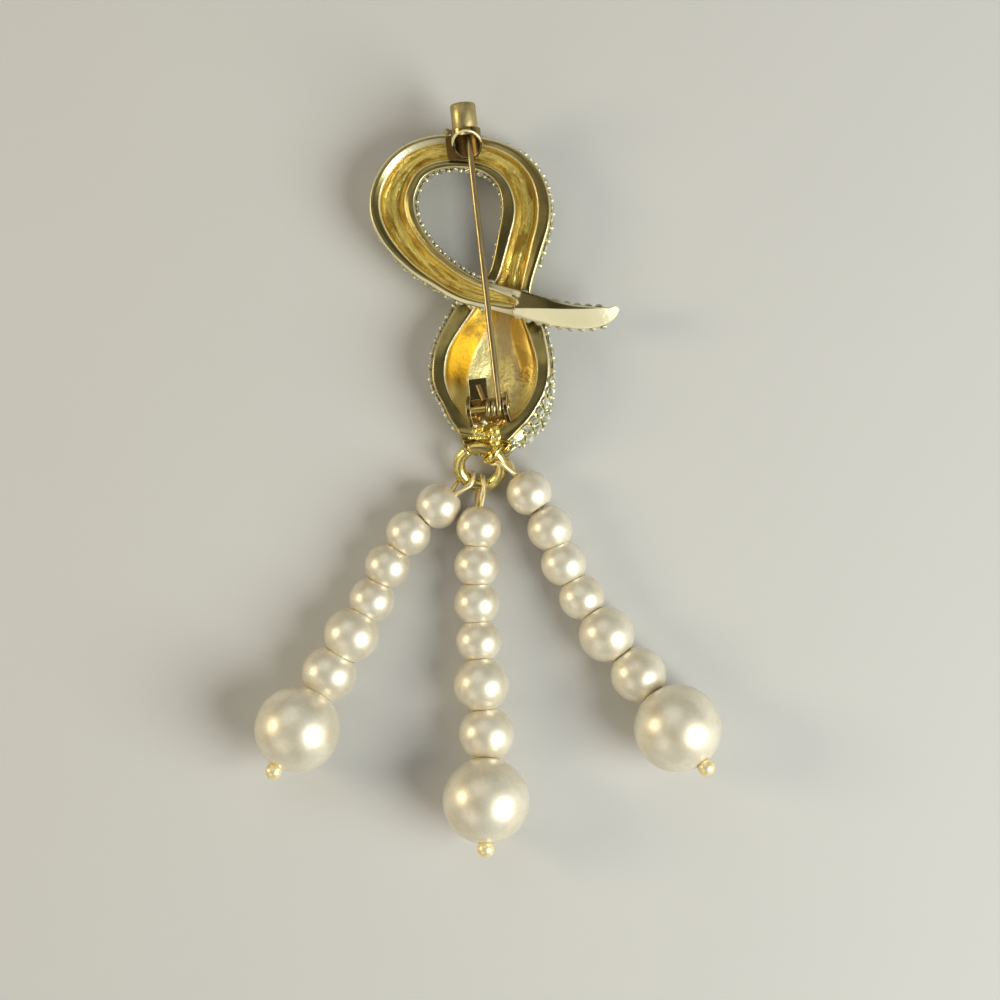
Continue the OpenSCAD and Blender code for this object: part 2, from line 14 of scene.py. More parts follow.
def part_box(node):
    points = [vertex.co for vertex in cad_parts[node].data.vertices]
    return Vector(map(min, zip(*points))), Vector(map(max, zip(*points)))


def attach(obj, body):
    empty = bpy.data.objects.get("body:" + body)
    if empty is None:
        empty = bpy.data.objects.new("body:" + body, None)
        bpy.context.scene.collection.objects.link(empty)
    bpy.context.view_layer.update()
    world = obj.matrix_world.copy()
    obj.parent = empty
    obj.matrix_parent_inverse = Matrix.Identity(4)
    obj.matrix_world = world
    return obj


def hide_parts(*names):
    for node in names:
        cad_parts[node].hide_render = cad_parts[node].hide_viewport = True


bl_info = {
    "name": "Snake Brooch",
    "version": (1, 0, 0),
    "blender": (4, 5, 0),
    "location": "3D View > Sidebar > Brooch",
    "description": "Builds a gilt snake brooch with pearl strands around its packed frame",
    "category": "Add Mesh",
}

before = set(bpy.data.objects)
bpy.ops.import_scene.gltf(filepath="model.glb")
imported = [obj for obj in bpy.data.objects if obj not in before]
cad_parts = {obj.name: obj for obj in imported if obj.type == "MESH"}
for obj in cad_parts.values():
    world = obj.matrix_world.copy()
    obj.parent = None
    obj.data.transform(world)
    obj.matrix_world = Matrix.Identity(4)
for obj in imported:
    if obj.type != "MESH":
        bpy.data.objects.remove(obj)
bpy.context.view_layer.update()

# Every table below is in millimetres, in the drawing that the solids were made from.
# The jump ring's middle, known in both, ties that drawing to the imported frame.
MM = 0.001
RING_AT = Vector((-2.15, 3.55, 2.5))
RING_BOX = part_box("jump_ring")
PLACE = Matrix.Scale(MM, 4) @ Matrix.Translation(
    (RING_BOX[0] + RING_BOX[1]) / 2 / MM - RING_AT
)

# Rows of the snake from the tip of the tail to the snout: middle x and y, width across
# the rims, height of the rims, depth of the domed front, width and depth of the channel
# in the back, and, where they aren't nought, the rise of a closed back and how much
# further the front swells on the left, where the head flares
SNAKE = (
    (13.3, 20.8, 0.5, 4.95, 0.35, 0.2, 0.02, 0.15),
    (12.5, 20.15, 1.4, 4.95, 0.8, 0.5, 0.02, 0.4),
    (11.45, 19.85, 2.1, 4.95, 1.0, 0.8, 0.02, 0.6),
    (9.8, 19.75, 2.5, 5.0, 1.15, 0.9, 0.02, 0.7),
    (8.1, 19.9, 2.6, 5.05, 1.25, 0.9, 0.02, 0.7),
    (5.4, 20.45, 2.75, 5.1, 1.3, 0.9, 0.02, 0.65),
    (2.6, 21.25, 2.85, 5.2, 1.4, 0.9, 0.02, 0.5),
    (1.3, 21.6, 2.85, 5.25, 1.4, 1.1, 0.4, 0.1),
    (-0.5, 22.1, 2.85, 5.3, 1.4, 1.3, 0.6),
    (-2.0, 22.5, 2.95, 5.3, 1.45, 1.5, 0.7),
    (-3.5, 23.05, 3.2, 5.25, 1.6, 1.6, 0.8),
    (-5.0, 23.9, 3.35, 5.1, 2.0, 1.7, 0.9),
    (-6.4, 24.9, 3.5, 4.9, 2.4, 1.8, 0.95),
    (-8.1, 26.2, 3.9, 4.7, 2.8, 2.0, 1.05),
    (-9.7, 27.9, 4.35, 4.55, 3.1, 2.2, 1.15),
    (-10.95, 29.7, 4.75, 4.5, 3.3, 2.4, 1.3),
    (-11.7, 31.6, 5.1, 4.5, 3.45, 2.6, 1.4),
    (-11.75, 33.5, 5.1, 4.5, 3.45, 2.6, 1.4),
    (-11.05, 35.4, 4.85, 4.5, 3.4, 2.4, 1.3),
    (-9.9, 36.9, 4.45, 4.5, 3.25, 2.1, 1.15),
    (-8.4, 37.85, 4.1, 4.5, 3.1, 1.9, 1.05),
    (-6.5, 38.35, 3.85, 4.5, 3.0, 1.8, 1.0),
    (-4.3, 38.4, 3.7, 4.5, 3.0, 1.8, 1.0),
    (-2.25, 38.1, 3.7, 4.5, 3.0, 1.8, 1.0),
    (-0.4, 37.5, 4.0, 4.5, 3.15, 1.9, 1.05),
    (1.3, 36.4, 4.5, 4.5, 3.4, 2.1, 1.2),
    (2.5, 34.75, 5.05, 4.5, 3.7, 2.3, 1.35),
    (3.1, 32.6, 5.4, 4.5, 3.9, 2.3, 1.4),
    (3.05, 30.6, 5.5, 4.45, 3.9, 2.3, 1.4),
    (2.5, 28.4, 5.3, 4.3, 3.7, 2.3, 1.3),
    (1.85, 26.0, 5.0, 3.9, 3.35, 2.4, 1.2),
    (1.25, 24.1, 5.1, 3.45, 2.9, 2.5, 1.1),
    (0.75, 22.8, 6.3, 3.25, 2.75, 3.2, 1.1),
    (0.3, 21.5, 8.3, 3.2, 2.7, 4.4, 1.3),
    (-0.1, 20.0, 10.1, 3.3, 2.8, 5.8, 1.7),
    (-0.4, 18.0, 11.6, 4.0, 3.5, 7.8, 2.5),
    (-0.65, 15.8, 12.8, 4.5, 4.0, 9.6, 3.1),
    (-0.8, 13.6, 13.1, 4.55, 4.05, 10.0, 3.3),
    (-0.9, 11.9, 12.4, 4.55, 4.05, 9.3, 3.2, 0.0, 0.75),
    (-1.05, 10.2, 10.7, 4.55, 4.05, 7.6, 2.8, 0.0, 1.6),
    (-1.28, 8.6, 8.64, 4.55, 3.95, 4.6, 1.3, 0.0, 2.15),
    (-1.45, 7.3, 6.7, 4.5, 3.7, 2.0, 0.05, 0.2, 2.55),
    (-1.6, 6.5, 5.4, 4.4, 3.4, 1.8, 0.03, 0.2, 2.1),
    (-1.6, 6.4, 5.7, 1.8, 0.9, 1.8, 0.03, 0.1, 1.4),
    (-1.65, 5.8, 5.1, 1.75, 0.95, 1.6, 0.03, 0.1, 1.1),
    (-1.75, 5.1, 3.7, 1.65, 0.85, 1.2, 0.03, 0.1, 1.0),
    (-1.85, 4.6, 2.0, 1.5, 0.6, 0.8, 0.03, 0.1, 0.35),
)

# Rows of stones: angle round the front, width, pitch, and the stretch that a row covers
STONE_ROWS = (
    (38, 0.9, 1.2, 1.6, 13),
    (142, 0.9, 1.2, 1.6, 13),
    (30, 1.1, 1.45, 14.3, 59),
    (150, 1.1, 1.45, 14.3, 59),
    (90, 1.6, 2.15, 21, 61),
    (58, 1.1, 2.15, 33, 59),
    (122, 1.1, 2.15, 21, 59),
    (18, 1.1, 1.45, 61.5, 78.6),
    (162, 1.1, 1.45, 61.5, 78.6),
    (175, 0.9, 1.2, 71, 78),
    (36, 1.1, 1.45, 64.4, 77),
    (144, 1.1, 1.45, 65, 77),
    (54, 1.5, 1.9, 64.8, 76.6),
    (126, 1.5, 1.9, 64.8, 76.6),
    (72, 1.8, 2.2, 67, 75),
    (108, 1.8, 2.2, 67, 75),
    (90, 2.2, 2.6, 62.5, 77),
)

# Pearls: diameters, lengths between their drilled ends, hole, and the gap between two
SMALL, MEDIUM, LARGE = 5.0, 6.1, 9.5
SMALL_LEN, LARGE_LEN = 3.95, 8.9
PEARL_HOLE = 1.2
PEARL_GAP = 0.2

# Each strand: its first pearl's place, the way there from the ring, where its thread
# loops round the ring in degrees, the medium pearls' length, and for each pearl but the
# last the heading to the next one, from straight down, and the spare thread before it
STRANDS = {
    "left": (
        (-6.8, -0.8), (-0.81, -0.59), 225, 4.75,
        ((-48, 0.4), (-33, 0.15), (-25, 0), (-29, 0), (-30.5, 0), (-28, 0.05)),
    ),
    "middle": (
        (-2.3, -3.2), (0, -1), 268, 5.3,
        ((-3, 0.1), (0, 0), (3, 0.05), (4, 0), (6, 0), (1, 0)),
    ),
    "right": (
        (3.3, 0.6), (0.62, -0.78), 14, 5.4,
        ((30, 0.45), (21.5, 0), (28, 0.08), (34.5, 0.05), (38.5, 0), (37, 0)),
    ),
}

# The jump ring, which leans back, and the cast eye that holds it
RING_MID_R, RING_WIRE_R = 2.375, 0.675
RING_LEAN = math.radians(30)
AT_RING = Matrix.Translation(RING_AT) @ Matrix.Rotation(RING_LEAN, 4, "X")
EYE_MID_R, EYE_WIRE_R = 1.225, 0.4
EYE_TURN = math.radians(50)

# The hinge and the catch stand on the needle's line: in the frame of each, Y runs along it
NEEDLE_LEAN = math.radians(6.55)
CATCH_Z = 6.8
AT_HINGE, AT_CATCH = (
    Matrix.Translation(at) @ Matrix.Rotation(NEEDLE_LEAN, 4, "Z")
    for at in ((-0.95, 9.75, 6.1), (-3.25, 39.5, CATCH_Z)))
# From the needle's line to a lathe's upright axis
LYING = Matrix.Rotation(-math.pi / 2, 4, "X")

MERGE = 1e-4


def length(name, description, default, low, high):
    """A length in metres that the panel shows."""
    return FloatProperty(name=name, description=description, default=default,
                         min=low, max=high, unit="LENGTH")


def colour(name, description, default):
    """A colour that the panel shows."""
    return FloatVectorProperty(name=name, description=description, default=default,
                               min=0, max=1, size=3, subtype="COLOR")


class BroochSizes(bpy.types.PropertyGroup):
    """Sizes of the work that the solids leave out."""

    grip_bead_d: length("Grip beads", "Diameter of the beads that hold the stones",
                        0.00048, 0.0002, 0.0007)
    rim_fall: length("Rim fall", "How far the outer rim falls towards the channel",
                     0.00014, 0.0, 0.0003)
    plies: IntProperty(name="Plies", description="Number of plies in the gold thread",
                       default=3, min=2, max=5)
    ply_turn: length("Ply turn", "Length of thread over which the plies turn once",
                     0.0021, 0.001, 0.004)
    camera_distance: length("Camera distance", "How far the camera stands from the brooch",
                            0.258, 0.1, 1.0)


class BroochColours(bpy.types.PropertyGroup):
    """Colours of the metal, the pearls, the stones and the floor."""

    gold: colour("Gold", "Polished gilding", (0.86, 0.68, 0.21))
    deep_gold: colour("Deep gold", "Gilding in the hollows", (0.86, 0.70, 0.19))
    # Painted shade: dark orange on the bowl's right wall, at the neck under the tail and on the
    # bowl's upper wall
    warm_gold: colour("Warm gold", "Orange gilding on the bowl's shaded walls",
                      (0.60, 0.335, 0.018))
    # Painted light: bright gold in the bowl's lower part, along the loop's channel and on the
    # tail's south slope
    bright_gold: colour("Bright gold", "Gilding that shines in the channel and the bowl",
                        (0.97, 0.80, 0.24))
    front_gold: colour("Front gold", "Gilding between the stones", (0.52, 0.48, 0.28))
    # Tarnish and painted shade: brown in the channel's grooves and along its walls, at the neck
    # under the tail, on the bowl's upper wall, and in random streaks
    tarnish_and_shade: colour("Tarnish", "Browned gilding in the deepest places", (0.40, 0.235, 0.035))
    # Painted dark reflection: the flat lands turn this dark olive, in random patches, for the
    # dark room that they mirror
    smudge: colour("Smudge", "Film on the flat lands", (0.25, 0.205, 0.08))
    # Painted shade: near-black on the tail's north slope, beyond the channel's end and on the
    # bowl's upper wall
    painted_shade_colour: colour("Smoke", "Dark film on the tail and above the channel's end",
                  (0.09, 0.072, 0.028))
    # Pale gold, for wear and painted highlight: the cream edges, lips, tail slope and bowl facet,
    # and the stones' beads and collars
    pale_gold: colour("Pale gold", "Worn edges, and the beads that hold the stones",
                      (0.93, 0.87, 0.62))
    # The ring's darker patches are painted dark reflections between its highlights
    ring_gold: colour("Ring", "The jump ring, which shines broadly", (0.93, 0.76, 0.29))
    dark_gold: colour("Dark gold", "Gilding of the hinge and the catch", (0.33, 0.24, 0.09))
    solder_gold: colour("Solder", "The hinge's foot, browned by the soldering",
                        (0.52, 0.32, 0.08))
    drawn_gold: colour("Drawn gold", "Wire at the hinge", (0.60, 0.46, 0.21))
    needle_gold: colour("Needle", "The needle and its coil, browner than the tube",
                        (0.46, 0.36, 0.18))
    tube_gold: colour("Tube", "The catch's tube, rubbed dull", (0.56, 0.45, 0.20))
    # Cream, for wear and painted highlight, on the catch's rolled lip and bevelled edges
    cream_gold: colour("Cream gold", "The catch's rubbed lip", (0.94, 0.84, 0.50))
    # Painted shade: brown inside the catch's bore and on its plates
    browned_gold: colour("Browned gold", "The inside of the catch", (0.20, 0.125, 0.04))
    thread: colour("Thread", "Bright plies of the thread", (1.0, 0.86, 0.50))
    # Painted shade in the grooves between the plies
    thread_groove: colour("Thread grooves", "Between the plies", (0.60, 0.41, 0.14))
    crystal: colour("Crystal", "Foil-backed stones", (0.66, 0.68, 0.54))
    crystal_shade: colour("Crystal shade", "Darker stones among them", (0.36, 0.37, 0.25))
    nacre: colour("Nacre", "Light parts of the pearls", (0.90, 0.85, 0.71))
    nacre_shade: colour("Nacre shade", "Darker, warmer mottling of the pearls",
                        (0.72, 0.62, 0.44))
    floor: colour("Floor", "The plain pale floor", (0.62, 0.615, 0.60))


class Value:
    """A socket's value: arithmetic on it adds the Math nodes."""

    def __init__(self, finish, socket):
        self.finish, self.socket = finish, socket

    def _math(self, operation, a, b):
        return self.finish.node("ShaderNodeMath", {"operation": operation}, {0: a, 1: b})

    def __add__(self, other):
        return self._math("ADD", self, other)

    def __sub__(self, other):
        return self._math("SUBTRACT", self, other)

    def __rsub__(self, other):
        return self._math("SUBTRACT", other, self)

    def __mul__(self, other):
        return self._math("MULTIPLY", self, other)

    __radd__, __rmul__ = __add__, __mul__


class Finish:
    """A material, or the world, in the making."""

    def __init__(self, name, kind="materials"):
        self.made = getattr(bpy.data, kind).new(name)
        self.made.use_nodes = True
        self.tree = self.made.node_tree
        self.tree.nodes.clear()

    def node(self, kind, settings=None, inputs=None, output=0):
        """Adds a node: its settings first, then the values or links of its sockets."""
        made = self.tree.nodes.new(kind)
        for key, value in (settings or {}).items():
            if key == "stops":
                ramp = made.color_ramp.elements
                while len(ramp) < len(value):
                    ramp.new(0.5)
                for stop, (position, level) in zip(ramp, value):
                    stop.position, stop.color = position, (level, level, level, 1)
            else:
                setattr(made, key, value)
        for key, value in (inputs or {}).items():
            if isinstance(value, Value):
                self.tree.links.new(value.socket, made.inputs[key])
            elif value is not None:
                made.inputs[key].default_value = value
        return Value(self, made.outputs[output]) if made.outputs else made

    def place(self, stretch=(1, 1, 1), turn=0.0):
        """Object coordinates, stretched and turned about the upright axis."""
        at = self.node("ShaderNodeTexCoord", output="Object")
        return self.node("ShaderNodeMapping", {"vector_type": "TEXTURE"},
                         {"Vector": at, "Rotation": (0, 0, turn), "Scale": stretch})

    def noise(self, at, size, detail, rough):
        """Noise whose features are about size metres across."""
        return self.node("ShaderNodeTexNoise", None, {
            "Vector": at, "Scale": 1 / size, "Detail": detail, "Roughness": rough})

    def layer(self, name):
        """A mask that the mesh carries."""
        return self.node("ShaderNodeAttribute", {"attribute_name": name}, output="Fac")

    def ramp(self, value, *stops):
        """A number's rise or fall between stops of (position, level)."""
        return self.node("ShaderNodeValToRGB", {"stops": stops}, {"Fac": value})

    def mix(self, share, a, b):
        """From colour a to colour b."""
        a, b = (v if isinstance(v, Value) else (*v, 1) for v in (a, b))
        return self.node("ShaderNodeMix", {"data_type": "RGBA"}, {0: share, 6: a, 7: b}, 2)

    def bump(self, height, distance, strength, under=None):
        """A relief of so many metres, on top of another one."""
        return self.node("ShaderNodeBump", None, {
            "Height": height, "Distance": distance, "Strength": strength, "Normal": under})

    def done(self, sockets):
        """Ends the material in a Principled shader."""
        shader = self.node("ShaderNodeBsdfPrincipled", None, sockets)
        self.node("ShaderNodeOutputMaterial", None, {"Surface": shader})
        return self.made


def tone(name):
    """A colour by the name of its property."""
    return tuple(getattr(bpy.context.scene.brooch_colours, name))


def cast_gold(look):
    """Gilt casting: lands with painted dark reflection, pale edges for wear and painted
    highlight, and a skin with streaks and painted light inside.
    """
    hollow, land, worn, stain, pitted, warm, front, glow, lined, smoked, along, across = (
        look.layer(name) for name in MASKS)
    at = look.place()
    lengthwise = look.node("ShaderNodeCombineXYZ", None, {"X": along * 0.33, "Y": across * 2.3})
    streak = look.noise(lengthwise, 1.0, 3, 0.6)
    patch = look.noise(at, 0.0026, 2, 0.6)
    blot = look.noise(at, 0.0007, 3, 0.65)
    grain = look.noise(at, 0.00028, 3, 0.6)
    scratch = look.noise(lengthwise, 0.7, 2, 0.5)
    lines = look.ramp(scratch, (0.475, 0.0), (0.5, 1.0), (0.525, 0.0)) * lined
    # Brown from random streaks and blots, and from the stain mask, which carries both tarnish and
    # painted shade
    brown_and_shade = streak * 0.62 + blot * 0.38 + stain * 0.42
    brown_and_shade = look.ramp(brown_and_shade, (0.55, 0.0), (0.72, 1.0)) * hollow
    spots = look.node("ShaderNodeMath", {"operation": "MAXIMUM"},
                      {0: brown_and_shade * 0.88, 1: lines * 0.7})
    # Painted dark reflection on the flat lands, in random patches
    painted_dark_reflection = look.ramp(patch, (0.34, 0.78), (0.6, 0.97)) * land
    pits = look.ramp(grain, (0.3, 0.0), (0.46, 1.0))
    metal = tone("gold")
    for share, name in (
        (hollow, "deep_gold"), (warm, "warm_gold"), (glow, "bright_gold"), (front, "front_gold"),
        (spots, "tarnish_and_shade"), (painted_dark_reflection, "smudge"), (smoked * 0.85, "painted_shade_colour"), (worn, "pale_gold"),
    ):
        metal = look.mix(share, metal, tone(name))
    rough = 0.15 + land * 0.1 + hollow * 0.12 + worn * 0.15 + spots * 0.12 + patch * 0.1
    relief = look.bump(pits * pitted, 0.0001, 0.9)
    wave = (streak * 0.6 + blot * 0.4 - lines * 0.25) * hollow
    relief = look.bump(wave, 0.0002, 0.75, relief)
    relief = look.bump(patch * land + blot * worn * 1.3, 0.00007, 0.6, relief)
    return {
        "Base Color": metal, "Normal": relief,
        "Metallic": 1 - worn * 0.42 - hollow * 0.15 - front * 0.3 - glow * 0.6,
        "Roughness": rough + warm * 0.2 + (1 - pits) * pitted * 0.12,
    }


def plain_gold(look, size=0.0009, drawn=1, smudge=0.12, rough=0.16, metal=1.0, dark=0.72):
    """Polished gilding with darker patches of a size, smudges that on the jump ring are painted
    dark reflections, and lines along it where it is drawn.
    """
    patch = look.noise(look.place(), size * 2.5, 2, 0.6)
    lines = look.noise(look.place((1, drawn, 1), NEEDLE_LEAN), size / 5, 3, 0.55)
    clean = tone(look.made.name)
    return {
        "Base Color": look.mix(look.ramp(patch, (0.38, 0.0), (0.72, 0.6)), clean,
                               tuple(dark * c for c in clean)),
        "Metallic": metal,
        "Roughness": rough + smudge * look.ramp(patch, (0.45, 0.0), (0.7, 1.0)) + lines * 0.06,
        "Normal": look.bump(lines, 0.000012, 0.5),
    }


def thread_gold(look):
    """Gold thread: bright plies, with painted shade in the grooves between them."""
    fibres = look.noise(look.place(), 0.00012, 2, 0.6)
    return {
        "Base Color": look.mix(look.layer("groove"), tone("thread"), tone("thread_groove")),
        "Metallic": 0.6, "Roughness": 0.27 + fibres * 0.16,
        "Normal": look.bump(fibres, 0.00001, 0.5),
    }


def crystal(look):
    """Cut stone on foil: greyish green, with a little colour from one stone to the next."""
    cloud = look.noise(look.place(), 0.0011, 1, 0.5)
    return {
        "Base Color": look.mix(look.ramp(cloud, (0.4, 0.0), (0.6, 1.0)),
                               tone("crystal"), tone("crystal_shade")),
        "Metallic": 0.45, "Roughness": 0.07 + cloud * 0.12,
        "Coat Weight": 0.6, "Coat Roughness": 0.04, "IOR": 1.6,
    }


def nacre(look):
    """Pearl lacquer: ivory over tan, with a satin sheen, finely mottled and pitted."""
    at = look.place()
    mottle = look.noise(at, 0.00032, 2, 0.6)
    shade = (look.ramp(look.noise(at, 0.0026, 2, 0.6), (0.35, 0.0), (0.7, 1.0)) * 0.6
             + look.ramp(mottle, (0.36, 0.0), (0.64, 0.22)))
    return {
        "Base Color": look.mix(shade, tone("nacre"), tone("nacre_shade")),
        "Metallic": 0.55, "Roughness": 0.36 + mottle * 0.1,
        "Coat Weight": 0.6, "Coat Roughness": 0.25, "IOR": 1.55,
        "Normal": look.bump(mottle, 0.00002, 0.4),
    }


def pale_floor(look):
    """The floor, faintly mottled."""
    grain = look.noise(look.place(), 0.02, 3, 0.6)
    pale = tone("floor")
    return {
        "Base Color": look.mix(grain * 0.4, pale, tuple(0.94 * c for c in pale)),
        "Roughness": 0.7,
    }


# The plain gildings, each with a colour of its name in the panel
GILDINGS = {
    "gold": {"rough": 0.21},
    # The ring's dark patches are painted dark reflections
    "ring_gold": {"rough": 0.21, "metal": 0.95, "dark": 0.4},
    "dark_gold": {},
    "solder_gold": {"size": 0.0005, "smudge": 0.2, "rough": 0.32, "dark": 0.35},
    "drawn_gold": {"size": 0.0008, "drawn": 14, "rough": 0.27},
    "needle_gold": {"size": 0.0008, "drawn": 14, "rough": 0.28},
    "tube_gold": {"size": 0.0005, "drawn": 5, "smudge": 0.2, "rough": 0.34, "metal": 0.9,
                  "dark": 0.4},
    "cream_gold": {"size": 0.0006, "smudge": 0.1, "rough": 0.42, "metal": 0.6},
    "browned_gold": {"size": 0.0008, "smudge": 0.15, "rough": 0.3},
    "pale_gold": {"size": 0.0006, "smudge": 0.1, "rough": 0.3, "metal": 0.7},
}
MAKERS = {maker.__name__: maker for maker in (cast_gold, thread_gold, crystal, nacre, pale_floor)}


def finish(name):
    """A material by its name, made once."""
    if name in bpy.data.materials:
        return bpy.data.materials[name]
    look = Finish(name)
    maker = MAKERS.get(name, plain_gold)
    return look.done(maker(look, **GILDINGS.get(name, {})))


def mesh_of(name, bm):
    """Turns what was built into a mesh."""
    mesh = bpy.data.meshes.new(name)
    bm.to_mesh(mesh)
    bm.free()
    return mesh


def add_piece(name, bm, body, finishes, replaces, levels=0, bevel=0.0):
    """Puts a finished mesh in its place, parents it to its body's empty and hides the CAD nodes
    that it stands in for.

    Where it has a bevel, its bevelled edges take the last of its finishes: on the hinge and the
    catch a pale one, for wear and painted highlight.
    """
    bm.transform(PLACE)
    mesh = mesh_of(name, bm)
    for finish_name in finishes:
        mesh.materials.append(finish(finish_name))
    piece = bpy.data.objects.new(name, mesh)
    bpy.context.scene.collection.objects.link(piece)
    if bevel:
        edge = piece.modifiers.new("edges", "BEVEL")
        edge.width, edge.segments, edge.limit_method = bevel * MM, 2, "ANGLE"
        edge.angle_limit, edge.harden_normals = math.radians(35), True
        edge.material = len(finishes) - 1 if len(finishes) > 1 else -1
    if levels:
        subdivided = piece.modifiers.new("smooth", "SUBSURF")
        subdivided.levels = subdivided.render_levels = levels
    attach(piece, body)
    if replaces:
        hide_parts(*replaces)
    return piece


def skin(bm, merge=False):
    """Turns the faces outwards and smooths them, where need be after merging doubles."""
    if merge:
        bmesh.ops.remove_doubles(bm, verts=bm.verts, dist=MERGE)
    bmesh.ops.recalc_face_normals(bm, faces=bm.faces)
    for face in bm.faces:
        face.smooth = True


def paint(faces, index):
    """Gives some faces one of their piece's finishes."""
    for face in faces:
        face.material_index = index


def circle(bm, sides, radius):
    """A ring of verts about the Z axis, and its edges."""
    verts = bmesh.ops.create_circle(bm, segments=sides, radius=radius)["verts"]
    return verts, list({e for v in verts for e in v.link_edges})


def next_ring(bm, verts, edges):
    """Extrudes a ring of edges, and gives the new verts in the order of the old ones."""
    made = bmesh.ops.extrude_edge_only(bm, edges=edges)["geom"]
    fresh = {g for g in made if isinstance(g, bmesh.types.BMVert)}
    following = [next(e.other_vert(v) for e in v.link_edges if e.other_vert(v) in fresh)
                 for v in verts]
    return following, list({e for v in following for e in v.link_edges
                            if fresh.issuperset(e.verts)})


def sweep(bm, rings, layers=None):
    """Extrudes a ring of points through the rings that follow it, and closes the ends."""
    verts, edges = circle(bm, len(rings[0]), 1)
    first = edges
    for i, ring in enumerate(rings):
        if i:
            verts, edges = next_ring(bm, verts, edges)
        for v, point in zip(verts, ring):
            v.co = point["at"]
            for name, layer in (layers or {}).items():
                v[layer] = point[name]
    for end in (first, edges):
        bmesh.ops.contextual_create(bm, geom=end)


def tube(bm, path, radius, sides=12, lobes=0, lobe_turn=1.0, layer=None):
    """Sweeps a round or plied wire along a path of points."""
    points = [Vector(p) for p in path]
    side = (points[1] - points[0]).normalized().orthogonal().normalized()
    run = 0.0
    rings = []
    for i, p in enumerate(points):
        a, b = points[max(i - 1, 0)], points[min(i + 1, len(points) - 1)]
        run += (p - a).length
        way = (b - a).normalized()
        side = (side - side.dot(way) * way).normalized()
        up = way.cross(side)
        r = radius(i / (len(points) - 1)) if callable(radius) else radius
        ring = []
        for k in range(sides):
            turn = 2 * math.pi * k / sides
            wave = math.cos(lobes * turn - 2 * math.pi * run / lobe_turn) if lobes else 0.0
            out = r * (1 + 0.1 * wave)
            ring.append({
                "at": p + out * (math.cos(turn) * side + math.sin(turn) * up),
                "groove": max(0.0, -wave),
            })
        rings.append(ring)
    sweep(bm, rings, {"groove": layer} if layer else None)


def arc(radius, start, end, steps, at=(0.0, 0.0)):
    """Points (radius, height) on an arc, from one angle to another in degrees."""
    turns = (math.radians(start + (end - start) * k / steps) for k in range(steps + 1))
    return [(at[0] + radius * math.cos(t), at[1] + radius * math.sin(t)) for t in turns]


def lathe(bm, profile, matrix, steps=48, closed=True):
    """Spins a profile of (radius, height) about the Z axis and puts it in its place."""
    verts = [bm.verts.new((r, 0, z)) for r, z in profile]
    edges = [bm.edges.new(pair) for pair in zip(verts, verts[1:])]
    if closed:
        edges.append(bm.edges.new((verts[-1], verts[0])))
    bmesh.ops.spin(bm, geom=verts + edges, cent=(0, 0, 0), axis=(0, 0, 1),
                   angle=2 * math.pi, steps=steps, use_merge=True)
    spun, found = set(), set(verts)
    while found:
        spun |= found
        found = {e.other_vert(v) for v in found for e in v.link_edges} - spun
    bmesh.ops.transform(bm, matrix=matrix, verts=list(spun))


def smooth_row(rows, i, t):
    """A row between rows i and i + 1 of a table, on a smooth curve."""
    a, b = rows[max(i - 1, 0)], rows[i]
    c, d = rows[min(i + 1, len(rows) - 1)], rows[min(i + 2, len(rows) - 1)]
    return [
        0.5 * (2 * q + (r - p) * t + (2 * p - 5 * q + 4 * r - s) * t * t
               + (3 * q - p - 3 * r + s) * t ** 3)
        for p, q, r, s in zip(a, b, c, d)
    ]


# The snake's sections as the solids have them, with their distances from the tail's tip
ROWS = [row + (0.0,) * (9 - len(row)) for row in SNAKE]
SECTIONS = [smooth_row(ROWS, i, t) for i in range(len(ROWS) - 1) for t in (0, 0.5)]
SECTIONS.append(ROWS[-1])
SECTION_AT = [0.0]
for before, after in zip(SECTIONS, SECTIONS[1:]):
    SECTION_AT.append(SECTION_AT[-1] + math.dist(before[:2], after[:2]))
SNAKE_LEN = SECTION_AT[-1]


def lookup(value, keys, rows):
    """A row at a value, straight between the rows on its two sides."""
    value = min(max(value, keys[0]), keys[-1])
    low, high = 0, len(keys) - 1
    while high - low > 1:
        mid = (low + high) // 2
        low, high = (mid, high) if keys[mid] <= value else (low, mid)
    t = (value - keys[low]) / max(keys[high] - keys[low], 1e-9)
    return [p + (q - p) * t for p, q in zip(rows[low], rows[high])]


def section(along):
    """The section at a distance from the tail's tip."""
    return lookup(along, SECTION_AT, SECTIONS)


def rightward(along):
    """Unit vector to the right of the way from tail to snout."""
    a, b = section(max(along - 0.4, 0)), section(min(along + 0.4, SNAKE_LEN))
    way = Vector((b[0] - a[0], b[1] - a[1], 0)).normalized()
    return Vector((way.y, -way.x, 0))


def swell(width):
    """How far the domed front swells past its rims."""
    return max(0.12, 0.075 * (width - 4)) * min(1, width / 2)


def dome_share(row, turn):
    """Side and height of the domed front, where turn goes from the right rim's 0 to pi."""
    flare = row[8] if turn > math.pi / 2 else 0
    side = row[2] / 2 * math.cos(turn) + (swell(row[2]) + flare) * math.sin(2 * turn)
    return side, row[3] - row[4] * math.sin(turn)


def dome(along, degrees):
    """A point of the domed front."""
    row = section(along)
    side, up = dome_share(row, math.radians(degrees))
    return Vector((row[0], row[1], 0)) + side * rightward(along) + Vector((0, 0, up))


def dome_normal(along, degrees):
    """The way out of the domed front at a point."""
    across = dome(along, degrees + 3) - dome(along, degrees - 3)
    onward = dome(along + 0.1, degrees) - dome(along - 0.1, degrees)
    return across.cross(onward).normalized()


def ease(value, low, high):
    """Rises smoothly from 0 to 1 between two values."""
    t = min(max((value - low) / (high - low), 0), 1)
    return t * t * (3 - 2 * t)


def spell(along, start, full, end, fade):
    """Comes between two distances along the snake, and fades out before a third."""
    return ease(along, start, full) * ease(end - along, 0, fade)


def beyond(a, b):
    """Whether a is past b, with a soft step between."""
    return ease(a - b, -0.02, 0.02)


